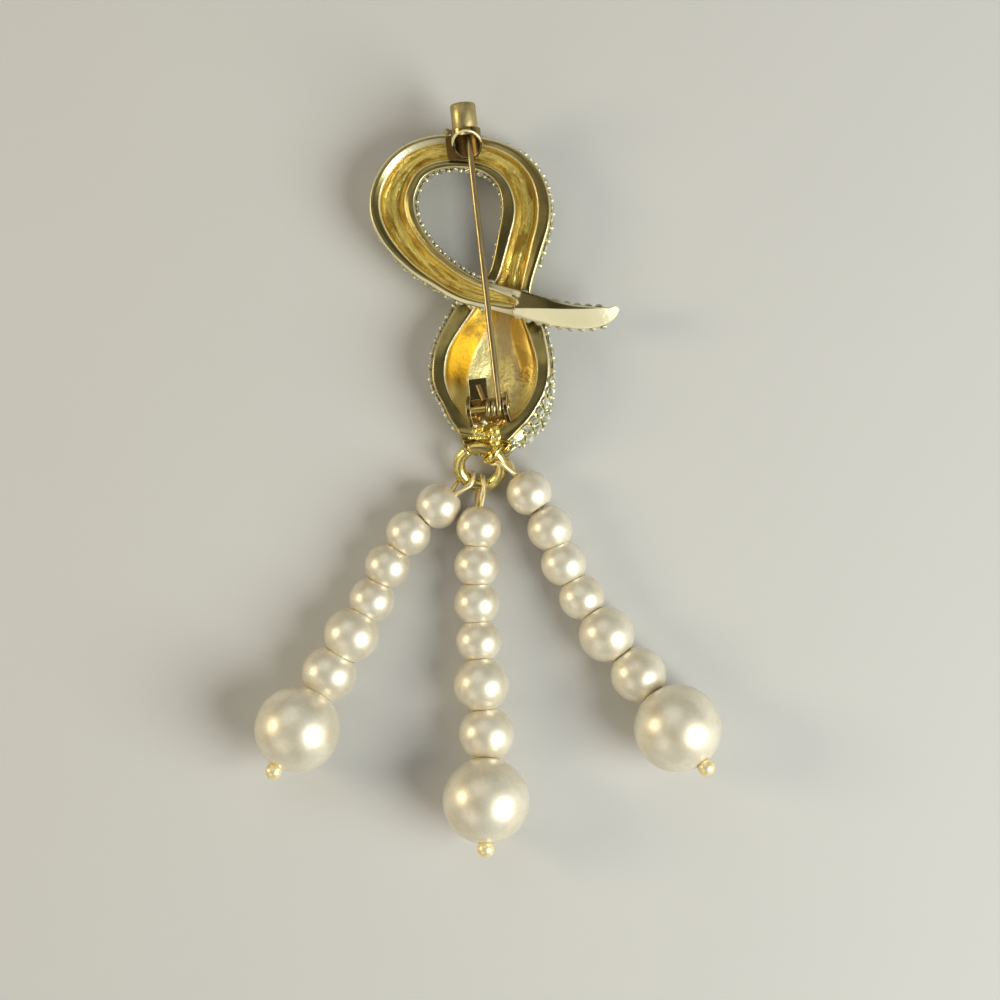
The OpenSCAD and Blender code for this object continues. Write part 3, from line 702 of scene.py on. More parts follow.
# Points across the front and across the channel; distances along the snake at which the
# channel begins, where it has rounded off, and where the head and its bowl begin
DOME_STEPS, CHANNEL_STEPS = 22, 22
CHANNEL_FROM, CHANNEL_END = 11.6, 0.6
TAIL_TO, HEAD_FROM = 20, 62.0

# Along the snake: where the tail's ridge stands across its closed back, and how wide the
# bevel on the outer edge is after it
RIDGE_AT = (0, 1.5, 5.3, 8.5, 11.4)
RIDGE_SHARE = ((0.9,), (0.82,), (0.55,), (0.1,), (-0.48,))
BEVEL_AT = (11.4, 12.3, 14.2, 22, 30, 60, 74, 80)
BEVEL_WIDTH = ((0.75,), (0.52,), (0.43,), (0.34,), (0.22,), (0.2,), (0.25,), (0.24,))

# What the casting's verts carry: how far they are in the hollow and on the flat lands, worn pale
# with painted highlight, stained with painted shade, pitted, painted in dark orange shade, on the
# front, painted with light, lined and painted with shade, and where they are along and across the
# channel
MASKS = ("hollow", "land", "worn", "stain", "pitted", "warm", "front", "glow", "lined",
         "smoked", "along", "across")

# The bowl in the head, from one lip to the other: its two walls meet a flatter floor in
# edges, whose shares of the way across and of the depth change along the head
KNEE_AT = (66.0, 69.5, 73.0)
KNEES = ((-0.41, 0.34, 0.88, 0.8), (-0.56, 0.47, 0.84, 0.77), (-0.72, 0.61, 0.6, 0.58))
KNEE_COLUMNS = [math.sin(math.pi * (k / CHANNEL_STEPS - 0.5)) for k in (14, 15)]


def kneed(q, knees):
    """Moves the bowl's columns so that two of them stand at each edge of its floor."""
    knee = abs(knees[0] if q < 0 else knees[1])
    inner, outer = KNEE_COLUMNS
    if abs(q) < (inner + outer) / 2:
        return q * (knee - 0.02) / inner
    moved = knee + 0.02 + (abs(q) - outer) * (0.98 - knee) / (1 - outer)
    return math.copysign(moved, q)


def curl_end(points, along, lip):
    """Marks the lip that curls round the channel's end, worn and with painted highlight, and the
    face beyond it, which gets painted shade.
    """
    back = CHANNEL_FROM + CHANNEL_END - along
    for point in points if -0.15 < back < CHANNEL_END + 0.45 else ():
        side = point["side"]
        reach = math.hypot(max(back, 0) / CHANNEL_END, side / lip)
        if reach > 0.98 and side > -1.5 * lip:
            curl = 0.9 * ease(1.5 - reach, 0, 0.15)
            band = 0.75 * ease(side, 1.75 * lip, 1.9 * lip) * ease(0.9 - back, 0, 0.25)
            worn = max(curl, band)
            point.update(worn=worn, land=1 - worn, smoked=0.8 * (1 - worn), hollow=0.0)


class Back:
    """One section of the snake's back, from the left rim's edge to the right one's."""

    def __init__(self, row, along, rim_fall):
        self.along, self.rim, self.crown = along, row[3], row[7]
        self.half, self.lip, self.deep = row[2] / 2, row[5] / 2, row[6]
        self.opened = ease(self.deep, 0.04, 0.45)
        end_lip = 0.78 * self.lip
        if along < CHANNEL_FROM + 3:
            self.round_off()
        self.lip *= 1 - 0.22 * ease(15 - along, 0, 3)
        self.edge = 0.17 * min(1, self.half)
        self.bevel = min(lookup(along, BEVEL_AT, BEVEL_WIDTH)[0], 0.52 * self.half)
        self.ridge = lookup(along, RIDGE_AT, RIDGE_SHARE)[0]
        # The band on the loop's upper left where the outer rim is painted pale for a highlight
        self.highlight_band = spell(along, 32, 36, 44, 1)
        self.headed = (ease(along, HEAD_FROM, HEAD_FROM + 5)
                       * ease(SNAKE_LEN - along, 2.5, 6))
        self.rim_fall = rim_fall
        self.points = []
        if along < CHANNEL_FROM:
            self.roof()
        else:
            self.rim_side(-1)
            self.channel()
            left = len(self.points)
            self.rim_side(1)
            self.points[left:] = reversed(self.points[left:])
        curl_end(self.points, along, end_lip)

    def round_off(self):
        """Rounds the channel's end in plan, and deepens it there."""
        begun = min(max((self.along - CHANNEL_FROM) / CHANNEL_END, 0), 1)
        self.lip *= max(math.sqrt(begun * (2 - begun)), 0.12)
        self.opened = max(self.opened, 0.85 * ease(begun, 0, 0.6)) * ease(begun, 0, 0.2)
        self.deep = max(self.deep, 0.5 * ease(begun, 0, 0.7))

    def crowned(self, side):
        """Rise of a closed back: on the tail, two flat slopes that meet in a ridge."""
        share = side / self.half
        if self.along > TAIL_TO:
            return self.crown * (1 - share * share)
        return self.crown * min((1 - share) / (1 - self.ridge), (1 + share) / (1 + self.ridge))

    def fall(self, right):
        """How far a rim falls towards the channel, more along the highlight band."""
        lean = 1.2 if right else 1.5 + 0.9 * self.highlight_band
        return self.rim_fall * lean * (1 - 0.75 * self.headed)

    def add(self, side, up, **masks):
        """Adds a point with its masks."""
        point = dict.fromkeys(MASKS, 0.0)
        point.update(masks, side=side, up=self.rim + up, along=self.along,
                     across=min(max(side / self.lip, -1.5), 1.5))
        self.points.append(point)

    def rim_side(self, sign):
        """A rim: a pale edge for wear and painted highlight, a flat land that may fall inwards,
        and the channel's lip, pale for wear and painted highlight.
        """
        along, headed, opened, half, right = (
            self.along, self.headed, self.opened, self.half, sign > 0)
        corner = self.edge if right else self.bevel
        outer, inner = half - corner, self.lip + (0.2 if along > 15 else 0.26)
        level = ease(along, 44, 48) * right * (1 - headed)
        fall = self.fall(right) * opened * (1 - 0.8 * level)
        split = 0.5 + 0.32 * ease(along, 42, 47) if right else 0.34
        crease = outer + (inner - outer) * split
        # The outer edge and the channel's lip are painted pale for wear and painted highlight
        bright = 0.75 - 0.5 * headed if right else 0.85
        bright -= 0.45 * ease(along, 44, 50) * (1 - headed) + 0.8 * ease(along, 77.8, 78.5)
        bright = max(bright, 0)
        lit = (0.9 if right else 0.45) if headed > 0.5 else 0.8
        ground = 1 - (0.7 * spell(along, 15, 18, 30, 5) if right else 0.75 * self.highlight_band)
        rubbed_highlight = 0.6 * ease(15.5 - along, 0, 1.5) if right else 0.85 * self.highlight_band
        turned = 0.2 * (corner - self.edge)
        for side, up, land, worn in (
            (half - 0.01, -0.22 - turned, 0.3, 0.0),
            (half - 0.02, -0.18 - turned, 0.3, bright),
            (outer + 0.03, -0.02, 0.3, bright),
            (outer, 0.0, 1.0, rubbed_highlight * right),
            (crease + 0.02, 0.015 * opened * (1 - level), 1.0, rubbed_highlight * right),
            (crease - 0.03, 0.0, ground, rubbed_highlight),
            (inner, -fall, ground, rubbed_highlight),
            (inner - 0.03, -fall, 0.4, lit),
            (self.lip + 0.05, -fall - 0.13 * opened, 0.2, lit),
            (self.lip + 0.02, -fall - 0.17 * opened, 0.0, 0.2),
        ):
            closed = self.crowned(sign * min(side, half - self.edge))
            closed *= min(1, (half - side) / self.edge)
            self.add(sign * side, up + closed, land=land, worn=worn)

    def roof_side(self, sign):
        """One end of the tail's closed roof, which has as many points as an open rim."""
        half, edge, right = self.half, self.edge, sign > 0
        outer = half - edge
        near = outer + (self.ridge * half * sign - outer) * 0.55
        run = [(half - 0.01, -1.2 * edge), (half - 0.02, -edge), (outer + 0.02, -0.1 * edge)]
        run += [(outer + (near - outer) * k / 6, 0) for k in range(7)]
        for side, up in run:
            closed = self.crowned(sign * min(side, outer)) * min(1, (half - side) / edge)
            edged = 0.9 * ease(8.5 - self.along, 0, 2.5) * ease(side, outer - 0.1, outer)
            # The south slope gets wear, painted highlight and painted light; the north slope gets
            # painted shade
            self.add(sign * side, up + closed, land=1.0 * right, worn=edged if right else 0.85,
                     smoked=0.8 * right, glow=0.5 * (not right))
        return sign * near

    def roof(self):
        """The tail's closed back: a slope painted pale and bright for wear and painted highlight,
        the ridge, and a slope with painted shade.
        """
        low = self.roof_side(-1)
        left = len(self.points)
        high = self.roof_side(1)
        ends = self.points[left:]
        del self.points[left:]
        top = self.ridge * self.half
        for k in range(1, CHANNEL_STEPS):
            share = k / (CHANNEL_STEPS // 2)
            if share < 1:
                side, land, worn = low + (top - 0.02 - low) * share, 0.0, 0.85
            elif share == 1:
                side, land, worn = top, 0.0, 1.0
            else:
                side, land, worn = top + 0.03 + (high - top - 0.03) * (share - 1), 1.0, 0.0
            self.add(side, self.crowned(side), land=land, worn=worn, smoked=0.8 * land,
                     glow=0.5 * (1 - land))
        self.points += reversed(ends)

    def channel(self):
        """The channel from lip to lip, which becomes the bowl in the head."""
        headed, opened = self.headed, self.opened
        knees = lookup(self.along, KNEE_AT, KNEES)
        bowl_at = (-1, -0.96, knees[0], 0.0, knees[1], 0.95, 1)
        bowl_depth = [[d] for d in (0.0, 0.3, knees[2], 0.97, knees[3], 0.14, 0.0)]
        for k in range(1, CHANNEL_STEPS):
            q = math.sin(math.pi * (k / CHANNEL_STEPS - 0.5))
            q += (kneed(q, knees) - q) * headed
            floor = (1 - abs(q) ** 5) ** 0.75
            lanes = self.lanes(q)
            sunk = (0.17 + self.fall(q > 0)) * opened * (1 - floor)
            depth = self.deep * (
                floor * (1 - headed) + lookup(q, bowl_at, bowl_depth)[0] * headed)
            depth -= lanes * opened * ease(self.deep, 0.3, 0.9)
            side = q * self.lip
            self.add(side, -depth - sunk + self.crowned(side),
                     **self.wear(q, floor, lanes, knees))

    def lanes(self, q):
        """Rise of the low ridge along the channel's floor, with a groove beside it."""
        if self.headed or self.deep <= 0.3:
            return 0.0
        q -= 0.1 * noise.noise((self.along * 0.15, 3.1, 0))
        return 0.17 * math.exp(-((q + 0.05) / 0.3) ** 2) - 0.16 * math.exp(
            -((q - 0.5) / 0.09) ** 2)

    def wear(self, q, floor, lanes, knees):
        """Masks of the channel and the bowl at a share of the way across."""
        along, headed, channelled = self.along, self.headed, 1 - self.headed
        # Painted shade at the neck under the tail and on the bowl's upper wall: brown, near-black
        # and dark orange
        upper = beyond(knees[0], q) * ease(70.5 - along, 0, 1.5) * headed
        neck = spell(along, 60.5, 62, 68.6, 2.5) * (1 - 0.45 * abs(q))
        # The stain holds random tarnish and painted shade: brown in the channel's grooves, along
        # its walls and on one wall of the loop's right strand
        stain = max(0.0, -4 * lanes) + 0.4 * ease(abs(q), 0.86, 0.97) * channelled
        stain += neck + 0.95 * upper - 0.5 * headed * ease(q, -0.2, 0)
        stain += 0.8 * ease(-q, 0.5, 0.62) * ease(along, 42, 47) * channelled
        # A facet of the bowl and its lower end are painted pale for wear and painted highlight
        facet = ease(q, 0.08, 0.16) * beyond(knees[1], q) * ease(along, 65, 67)
        rubbed_highlight = max(
            0.35 * facet * ease(73 - along, 0, 1),
            0.25 * ease(0.1 - q, 0, 0.1) * beyond(q, knees[0]),
            0.15 * ease(along, 71, 74))
        # Painted light in the bowl's lower part and along the floor of the loop's channel
        painted_shine = ease(along - 2 * (q > 0), 70, 72.5) * ease(abs(q), 0.2, 0.4) * headed
        painted_shine += 0.3 * channelled * spell(along, 33, 36, 55, 6) * floor
        # Painted shade in dark orange on the bowl's right wall, fading towards the snout
        right_wall = headed * beyond(q, knees[1]) * (1 - 0.5 * ease(along, 72, 75))
        hollow = min(1.0, 1.25 * floor) * self.opened
        return {
            "hollow": hollow, "lined": channelled * hollow, "worn": headed * rubbed_highlight,
            "stain": max(-0.5, min(stain, 1.0)), "glow": painted_shine, "smoked": 0.45 * upper,
            "pitted": headed * ease(-q, 0.1, 0.3) * ease(along, 68.5, 71) + 0.3 * channelled,
            "warm": max(right_wall, 0.8 * neck, 0.2 * upper),
        }


def snake_ring(i, t, rim_fall):
    """One ring of the casting, from the right rim round the front and along the back."""
    row = smooth_row(ROWS, i, t)
    mark = 2 * i + 2 * t
    low = min(int(mark), len(SECTION_AT) - 2)
    along = SECTION_AT[low] + (mark - low) * (SECTION_AT[low + 1] - SECTION_AT[low])
    right = rightward(along)
    ring = []
    for k in range(1, DOME_STEPS):
        side, up = dome_share(row, math.pi * k / DOME_STEPS)
        ring.append({**dict.fromkeys(MASKS, 0.0), "side": side, "up": up, "front": 1.0})
    ring += Back(row, along, rim_fall).points
    for point in ring:
        at = Vector((row[0], row[1], point["up"])) + point["side"] * right
        if point["hollow"] > 0.3:
            q = point["across"]
            streak = noise.noise((along * 0.4, q * 2.6, 7.7))
            cast = streak * 0.09 + noise.noise(at * 2.1) * 0.05 + noise.noise(at * 5.3) * 0.03
            at.z += cast * point["hollow"] * max(0, 1 - abs(q) ** 4) * min(1, row[6])
            point["stain"] = min(1.0, point["stain"] + max(0.0, -1.3 * streak))
        point["at"] = at
    return ring


def ring_lean(x, y):
    """A direction in the jump ring's plane."""
    return Vector((x, y * math.cos(RING_LEAN), y * math.sin(RING_LEAN)))


def ring_point(turn):
    """A point in the middle of the ring's wire."""
    return RING_AT + RING_MID_R * ring_lean(math.cos(turn), math.sin(turn))


def lump(bm, at, size, seed, flat, marks=None):
    """A grain of solder or casting metal, a little uneven, with masks of its own."""
    for v in bmesh.ops.create_icosphere(bm, subdivisions=2, radius=size / 2)["verts"]:
        for layer, level in (marks or {}).items():
            v[layer] = level
        v.co *= 1 + 0.22 * noise.noise(v.co * 3 + Vector((seed, 0, 0)))
        v.co.z *= flat
        v.co += Vector(at)


# Rings between two rows of the table, and more of them where the channel ends
RING_STEPS = 4
END_ROW, END_STEPS = 6, 14
# Lumps of metal between the snout and the eye: place and size
SNOUT_LUMPS = (((-0.35, 7.4, 4.5), 1.4), ((-0.1, 6.7, 4.45), 1.3),
               ((-0.35, 6.1, 4.3), 1.3), ((-0.1, 5.5, 4.0), 1.1))
# Brown grains on the snout, with their reach along X and Y, and the bright row before them
BROWN_GRAINS, BROWN_X, BROWN_Y, BROWN_Z = 9, (-2.9, -1.2), (6.9, 7.7), 4.62
BRIGHT_GRAINS, BRIGHT_FROM, BRIGHT_STEP = 9, (-3.1, 6.62, 4.5), 0.27


class BROOCH_OT_snake(bpy.types.Operator):
    """Builds the snake casting with its rims, channel, bowl and ring eye"""

    bl_idname = "brooch.snake"
    bl_label = "Snake Casting"

    def execute(self, context):
        rim_fall = context.scene.brooch_sizes.rim_fall / MM
        bm = bmesh.new()
        layers = {name: bm.verts.layers.float.new(name) for name in MASKS}
        rings = []
        for i in range(len(ROWS) - 1):
            steps = END_STEPS if i == END_ROW else RING_STEPS
            rings += [snake_ring(i, k / steps, rim_fall) for k in range(steps)]
        rings.append(snake_ring(len(ROWS) - 2, 1, rim_fall))
        sweep(bm, rings, layers)
        eye = AT_RING @ Matrix.Rotation(EYE_TURN, 4, "Z") @ Matrix.Translation(
            (RING_MID_R, 0, 0)) @ Matrix.Rotation(math.pi / 2, 4, "X")
        lathe(bm, arc(EYE_WIRE_R, 0, 324, 9, (EYE_MID_R, 0)), eye, 28)
        draw = random.Random(7)
        brown = {layers["hollow"]: 0.8, layers["stain"]: 0.25}
        bright = {layers["hollow"]: 0.5, layers["pitted"]: 0.5}
        for _ in range(BROWN_GRAINS):
            at = (draw.uniform(*BROWN_X), draw.uniform(*BROWN_Y), BROWN_Z)
            lump(bm, at, draw.uniform(0.45, 0.8), draw.uniform(0, 50), 0.7, brown)
        for at, size in SNOUT_LUMPS:
            lump(bm, at, size, size * 11, 0.7, bright)
        x, y, z = BRIGHT_FROM
        for k in range(BRIGHT_GRAINS):
            at = (x + BRIGHT_STEP * k, y + 0.02 * (k % 3), z)
            lump(bm, at, 0.5, k, 0.9, bright)
        skin(bm)
        add_piece("snake_casting", bm, "brooch", ["cast_gold"], ["snake_body"], 1)
        return {"FINISHED"}


def row_stops(row):
    """Distances along the snake of a row's stones, evenly spaced on the front itself."""
    angle, _, pitch, start, end = row
    marks = [start + 0.5 * i for i in range(int((end - start) / 0.5 + 1e-6) + 1)]
    points = [dome(a, angle) for a in marks]
    run = [0.0]
    for p, q in zip(points, points[1:]):
        run.append(run[-1] + (q - p).length)
    count = int(run[-1] / pitch)
    return [lookup((i + 0.5) * pitch, run, [[a] for a in marks])[0] for i in range(count)]


# Small stones at the corner of the jaw, which the solids leave out: distance, angle, width
JAW_STONES = ((78.2, 176, 0.8), (78.45, 168, 0.8), (78.5, 156, 0.8))

# A stone of unit width: its height, its girdle's share of it and its table's of the width
STONE_H, GIRDLE, TABLE = 0.42, 0.42, 0.58
STONE_SIDES, COLLAR_SIDES = 8, 12
# Its collar, from the foot up: share of the stone's width, and height
COLLAR_FOOT = (1.12, -0.35)
COLLAR = ((1.05, 0.3), (1.0, 0.44), (0.95, 0.4))
STONE_LIFT, BEAD_LIFT = 0.03, 0.22
# A grip bead stands this share of its stone's width to each side. The beads end at these
# angles round the front: on the tail and after it, and before the loop's top and after it
BEAD_ASIDE = 0.36
BEADS_LOW, BEADS_HIGH, LOOP_TOP = (26, 8), (154, 174), 47


def stone_mesh():
    """A cut stone of unit width on its collar: point, girdle, crown and table."""
    bm = bmesh.new()
    verts, edges = circle(bm, STONE_SIDES, 0.5)
    for v in verts:
        v.co.z = GIRDLE
    crown, top = next_ring(bm, verts, edges)
    turned = Matrix.Rotation(math.pi / STONE_SIDES, 4, "Z")
    for v in crown:
        v.co = turned @ Vector((v.co.x * TABLE, v.co.y * TABLE, 1))
    bmesh.ops.contextual_create(bm, geom=top)
    point, tip = next_ring(bm, verts, edges)
    for v in point:
        v.co = Vector((v.co.x * 0.1, v.co.y * 0.1, 0))
    bmesh.ops.contextual_create(bm, geom=tip)
    bmesh.ops.triangulate(bm, faces=[f for f in bm.faces if len(f.verts) == 4])
    stone_faces = set(bm.faces)
    rim, chain = circle(bm, COLLAR_SIDES, 0.5)
    share, up = COLLAR_FOOT
    for v in rim:
        v.co = Vector((v.co.x * share, v.co.y * share, up))
    for share, up in COLLAR:
        rim, chain = next_ring(bm, rim, chain)
        for k, v in enumerate(rim):
            turn = 2 * math.pi * k / COLLAR_SIDES
            v.co = Vector((0.5 * share * math.cos(turn), 0.5 * share * math.sin(turn), up))
    skin(bm)
    for face in bm.faces:
        face.material_index = 0 if face in stone_faces else 1
        face.smooth = face not in stone_faces
    return mesh_of("stone", bm)


def bead_mesh():
    """A grip bead of unit width."""
    bm = bmesh.new()
    bmesh.ops.create_icosphere(bm, subdivisions=1, radius=0.5)
    skin(bm)
    paint(bm.faces, 1)
    return mesh_of("bead", bm)


def stamp(bm, mesh, matrix):
    """Adds a copy of a small mesh at its place."""
    start = len(bm.verts)
    bm.from_mesh(mesh)
    bm.verts.ensure_lookup_table()
    bmesh.ops.transform(bm, matrix=matrix, verts=bm.verts[start:])


def standing(along, degrees, lift, wide, tall, turn=0.0):
    """A matrix that stands a small mesh on the front, out along its normal."""
    out = dome_normal(along, degrees)
    at = dome(along, degrees) + lift * out
    side = out.cross(Vector((0.2, 0.9, 0.3))).normalized()
    turned = Matrix((side, out.cross(side), out)).transposed().to_4x4()
    return (Matrix.Translation(at) @ turned @ Matrix.Rotation(turn, 4, "Z")
            @ Matrix.Diagonal((wide, wide, tall, 1)))


class BROOCH_OT_pave(bpy.types.Operator):
    """Sets the stones in their collars, with grip beads between them"""

    bl_idname = "brooch.pave"
    bl_label = "Stones"

    def execute(self, context):
        bead_d = context.scene.brooch_sizes.grip_bead_d / MM
        stone, bead = stone_mesh(), bead_mesh()
        bm = bmesh.new()
        draw = random.Random(11)
        for row in STONE_ROWS:
            angle, width, pitch, _, end = row
            stops = row_stops(row)
            for a in stops:
                stamp(bm, stone, standing(a, angle, STONE_LIFT, width,
                                          STONE_H * draw.uniform(0.94, 1.03),
                                          draw.uniform(0, math.pi)))
            lowest = BEADS_LOW[end >= CHANNEL_FROM + 3]
            for a, b in zip(stops, stops[1:] + [stops[-1] + pitch]):
                mid = min((a + b) / 2, SNAKE_LEN - 0.2)
                chord = max((dome(mid, angle + 10) - dome(mid, angle - 10)).length, 0.1)
                swing = 20 * BEAD_ASIDE * width / chord
                for turn in (angle - swing, angle + swing):
                    if not lowest < turn < BEADS_HIGH[a >= LOOP_TOP]:
                        continue
                    size = bead_d * draw.uniform(0.85, 1.15)
                    size *= 1.3 if turn > BEADS_HIGH[0] and 44 < a < 62 else 1
                    stamp(bm, bead, standing(mid, turn, BEAD_LIFT, size, size * 1.2))
        for a, angle, width in JAW_STONES:
            stamp(bm, stone, standing(a, angle, STONE_LIFT, width, STONE_H))
        add_piece("pave", bm, "brooch", ["crystal", "pale_gold"], ["stones"])
        for mesh in (stone, bead):
            bpy.data.meshes.remove(mesh)
        return {"FINISHED"}


class BROOCH_OT_jump_ring(bpy.types.Operator):
    """Bends the heavy jump ring, with the seam where its ends meet"""

    bl_idname = "brooch.jump_ring"
    bl_label = "Jump Ring"

    def execute(self, context):
        bm = bmesh.new()
        seam, gap, steps = math.radians(118), 0.012, 72
        path = [ring_point(seam + gap + 2 * (math.pi - gap) * k / steps)
                for k in range(steps + 1)]

        def wire(t):
            """Wire radius, eased in at the two cut ends."""
            near = min(t, 1 - t) * steps
            return RING_WIRE_R * (1 - 0.07 * max(0.0, 1 - near))

        tube(bm, path, wire, 22)
        skin(bm)
        add_piece("jump_ring_wire", bm, "brooch", ["ring_gold"], ["jump_ring"])
        return {"FINISHED"}


def strand(side):
    """Middles, diameters, lengths and axes of a strand's pearls."""
    start, first, _, medium_len, rows = STRANDS[side]
    sizes = [(SMALL, SMALL_LEN)] * 4 + [(MEDIUM, medium_len)] * 2 + [(LARGE, LARGE_LEN)]
    middles = [Vector((*start, SMALL / 2))]
    for (a, a_len), (b, b_len), (heading, spare) in zip(sizes, sizes[1:], rows):
        reach = (a_len + b_len) / 2 + PEARL_GAP + spare
        level = math.sqrt(reach ** 2 - ((b - a) / 2) ** 2)
        turn = math.radians(heading)
        step = Vector((level * math.sin(turn), -level * math.cos(turn), (b - a) / 2))
        middles.append(middles[-1] + step)
    ways = [Vector((*first, 0)).normalized()]
    ways += [(b - a).normalized() for a, b in zip(middles, middles[1:])]
    axes = [(a + b).normalized() for a, b in zip(ways, ways[1:])] + [ways[-1]]
    return middles, sizes, axes


# A pearl that this much spare thread follows stands apart from the next one
STANDS_APART = 0.3
SMALL_CUT = 0.012


def pearl_profile(size, apart, reach, last):
    """Profile of a drilled pearl, dished on top for a ball of radius last at a reach.

    Where it stands apart, its lower end is cut flat, and so is its top where last is 0.
    """
    (across, tall), hole = size, PEARL_HOLE / 2
    radius, cut = across / 2, tall / 2 + 0.1
    low = math.asin(cut / radius) if apart else math.acos(hole / radius)
    if last:
        meet = (reach ** 2 + radius ** 2 - last ** 2) / (2 * reach)
        top = math.asin(meet / radius)
        start, end = math.asin((reach - meet) / last), math.acos(hole / last)
        marks = [SMALL_CUT] + [(k / 7) * (end - start) for k in range(1, 8)]
        rest = [(last * math.cos(start + m), reach - last * math.sin(start + m)) for m in marks]
    else:
        top = math.asin(min(1, (cut + 0.2) / radius))
        level = radius * math.sin(top)
        rest = [(hole + 0.1, level + 0.02), (hole, level - 0.1)]
    marks = [-low + (top + low) * k / 26 for k in range(26)] + [top - SMALL_CUT, top]
    outside = [(radius * math.cos(a), radius * math.sin(a)) for a in marks]
    return ([(hole, 0.1 - cut), (hole + 0.1, -cut)] if apart else []) + outside + rest


def along_z(middle, way):
    """A matrix that takes the Z axis to a way through a place."""
    return Matrix.Translation(middle) @ way.to_track_quat("Z", "Y").to_matrix().to_4x4()


class BROOCH_OT_pearls(bpy.types.Operator):
    """Turns the pearls, each a little hidden by the one above it"""

    bl_idname = "brooch.pearls"
    bl_label = "Pearls"

    def execute(self, context):
        for side in STRANDS:
            middles, sizes, axes = strand(side)
            apart = [spare > STANDS_APART for _, spare in STRANDS[side][4]] + [False]
            for i, (middle, size) in enumerate(zip(middles, sizes)):
                bm = bmesh.new()
                back = middles[i - 1] - middle if i else -axes[0]
                hidden = i and not apart[i - 1]
                last = sizes[i - 1][0] / 2 + 0.05 if hidden else 0.0
                profile = pearl_profile(size, apart[i], back.length, last)
                lathe(bm, profile, along_z(middle, back), 44)
                skin(bm, True)
                node = f"pearl_{side}_{i + 1}"
                add_piece(f"{node}_bead", bm, "brooch", ["nacre"], [node])
        return {"FINISHED"}


def relaxed(points, step=0.1, rounds=14):
    """A path through the points, evenly divided and eased like a soft thread."""
    path = []
    for a, b in zip(points, points[1:]):
        count = max(2, round((b - a).length / step))
        path += [a.lerp(b, k / count) for k in range(count)]
    path.append(points[-1])
    for _ in range(rounds):
        eased = [(a + 2 * b + c) / 4 for a, b, c in zip(path, path[1:], path[2:])]
        path = [path[0], *eased, path[-1]]
    return path[:-1:2] + [path[-1]]


def curve_through(points, step):
    """Points of a smooth curve through the given ones, about a step apart."""
    out = []
    for i in range(len(points) - 1):
        count = max(2, round(math.dist(points[i], points[i + 1]) / step))
        out += [Vector(smooth_row(points, i, k / count)) for k in range(count)]
    return out + [Vector(points[-1])]


# The thread: its thickness, the visible plies' fullness, its loop round the ring's wire
# (radius, angles in degrees, steps and skew along the wire), how far its two legs stand
# apart and how deep its end is tucked, and the ball below the last pearl
THREAD_D, PLIES_FULL = 0.42, 0.06
LOOP_R, LOOP_FROM, LOOP_TURN, LOOP_STEPS, LOOP_SKEW = 1.06, 65, 230, 12, 0.5
LEG_APART, TUCK = 0.2, 0.8
END_BALL_R, BALL_SEAT = 0.95, 0.84


class BROOCH_OT_threads(bpy.types.Operator):
    """Lays the gold threads through the pearls and round the ring, with end balls"""

    bl_idname = "brooch.threads"
    bl_label = "Threads"

    def execute(self, context):
        sizes = context.scene.brooch_sizes
        for side in STRANDS:
            middles, _, axes = strand(side)
            first = math.radians(STRANDS[side][2])
            mouth = middles[0] - SMALL_LEN / 2 * axes[0]
            hold = ring_point(first)
            wire = ring_lean(-math.sin(first), math.cos(first))
            pull = mouth - hold
            out = (pull - pull.dot(wire) * wire).normalized()
            over = wire.cross(out)
            if over.z < 0:
                over = -over
            leg = Vector((0, 0, LEG_APART)) + LEG_APART * wire
            route = [middles[-1] + LARGE_LEN / 2 * axes[-1], *reversed(middles), mouth + leg]
            for k in range(LOOP_STEPS + 1):
                a = math.radians(LOOP_FROM + LOOP_TURN * k / LOOP_STEPS)
                route.append(hold + LOOP_R * (math.cos(a) * out + math.sin(a) * over)
                             + LOOP_SKEW * (1 - 2 * k / LOOP_STEPS) * wire)
            route += [mouth - leg, mouth - leg + TUCK * axes[0]]
            bm = bmesh.new()
            groove = bm.verts.layers.float.new("groove")
            tube(bm, relaxed(route), THREAD_D / 2 + PLIES_FULL, 12, sizes.plies,
                 sizes.ply_turn / MM, groove)
            r = END_BALL_R
            ball = [(0.0, r), *arc(r, 90 - 180 / 14, 90 - 180 * 11 / 14, 10),
                    (0.34, -0.84 * r), (0.3, -1.05 * r), (0.0, -1.05 * r)]
            low = middles[-1] + (LARGE_LEN / 2 + BALL_SEAT) * axes[-1]
            lathe(bm, ball, along_z(low, axes[-1]), 28, False)
            skin(bm, True)
            add_piece(f"thread_{side}_plied", bm, "brooch", ["thread_gold"],
                      [f"thread_{side}"])
        return {"FINISHED"}


def thicken(bm, faces, vec):
    """Gives a sheet its thickness."""
    made = bmesh.ops.extrude_face_region(bm, geom=faces)["geom"]
    bmesh.ops.translate(bm, verts=[g for g in made if isinstance(g, bmesh.types.BMVert)],
                        vec=vec)


def plate(bm, outline, low, thick, matrix):
    """A sheet of metal cut to an outline."""
    verts = [bm.verts.new(matrix @ Vector((x, y, low))) for x, y in outline]
    thicken(bm, [bm.faces.new(verts)], matrix.to_3x3() @ Vector((0, 0, thick)))


def rounded(x0, y0, x1, y1, r, corners=(1, 1, 1, 1)):
    """Outline of a rectangle with some of its corners rounded, from the lower left."""
    out = []
    spots = ((x0, y0, 180), (x1, y0, 270), (x1, y1, 0), (x0, y1, 90))
    for (x, y, start), soft in zip(spots, corners):
        if not soft:
            out.append((x, y))
            continue
        middle = x + (r if x == x0 else -r), y + (r if y == y0 else -r)
        out += arc(r, start, start + 90, 3, middle)
    return out


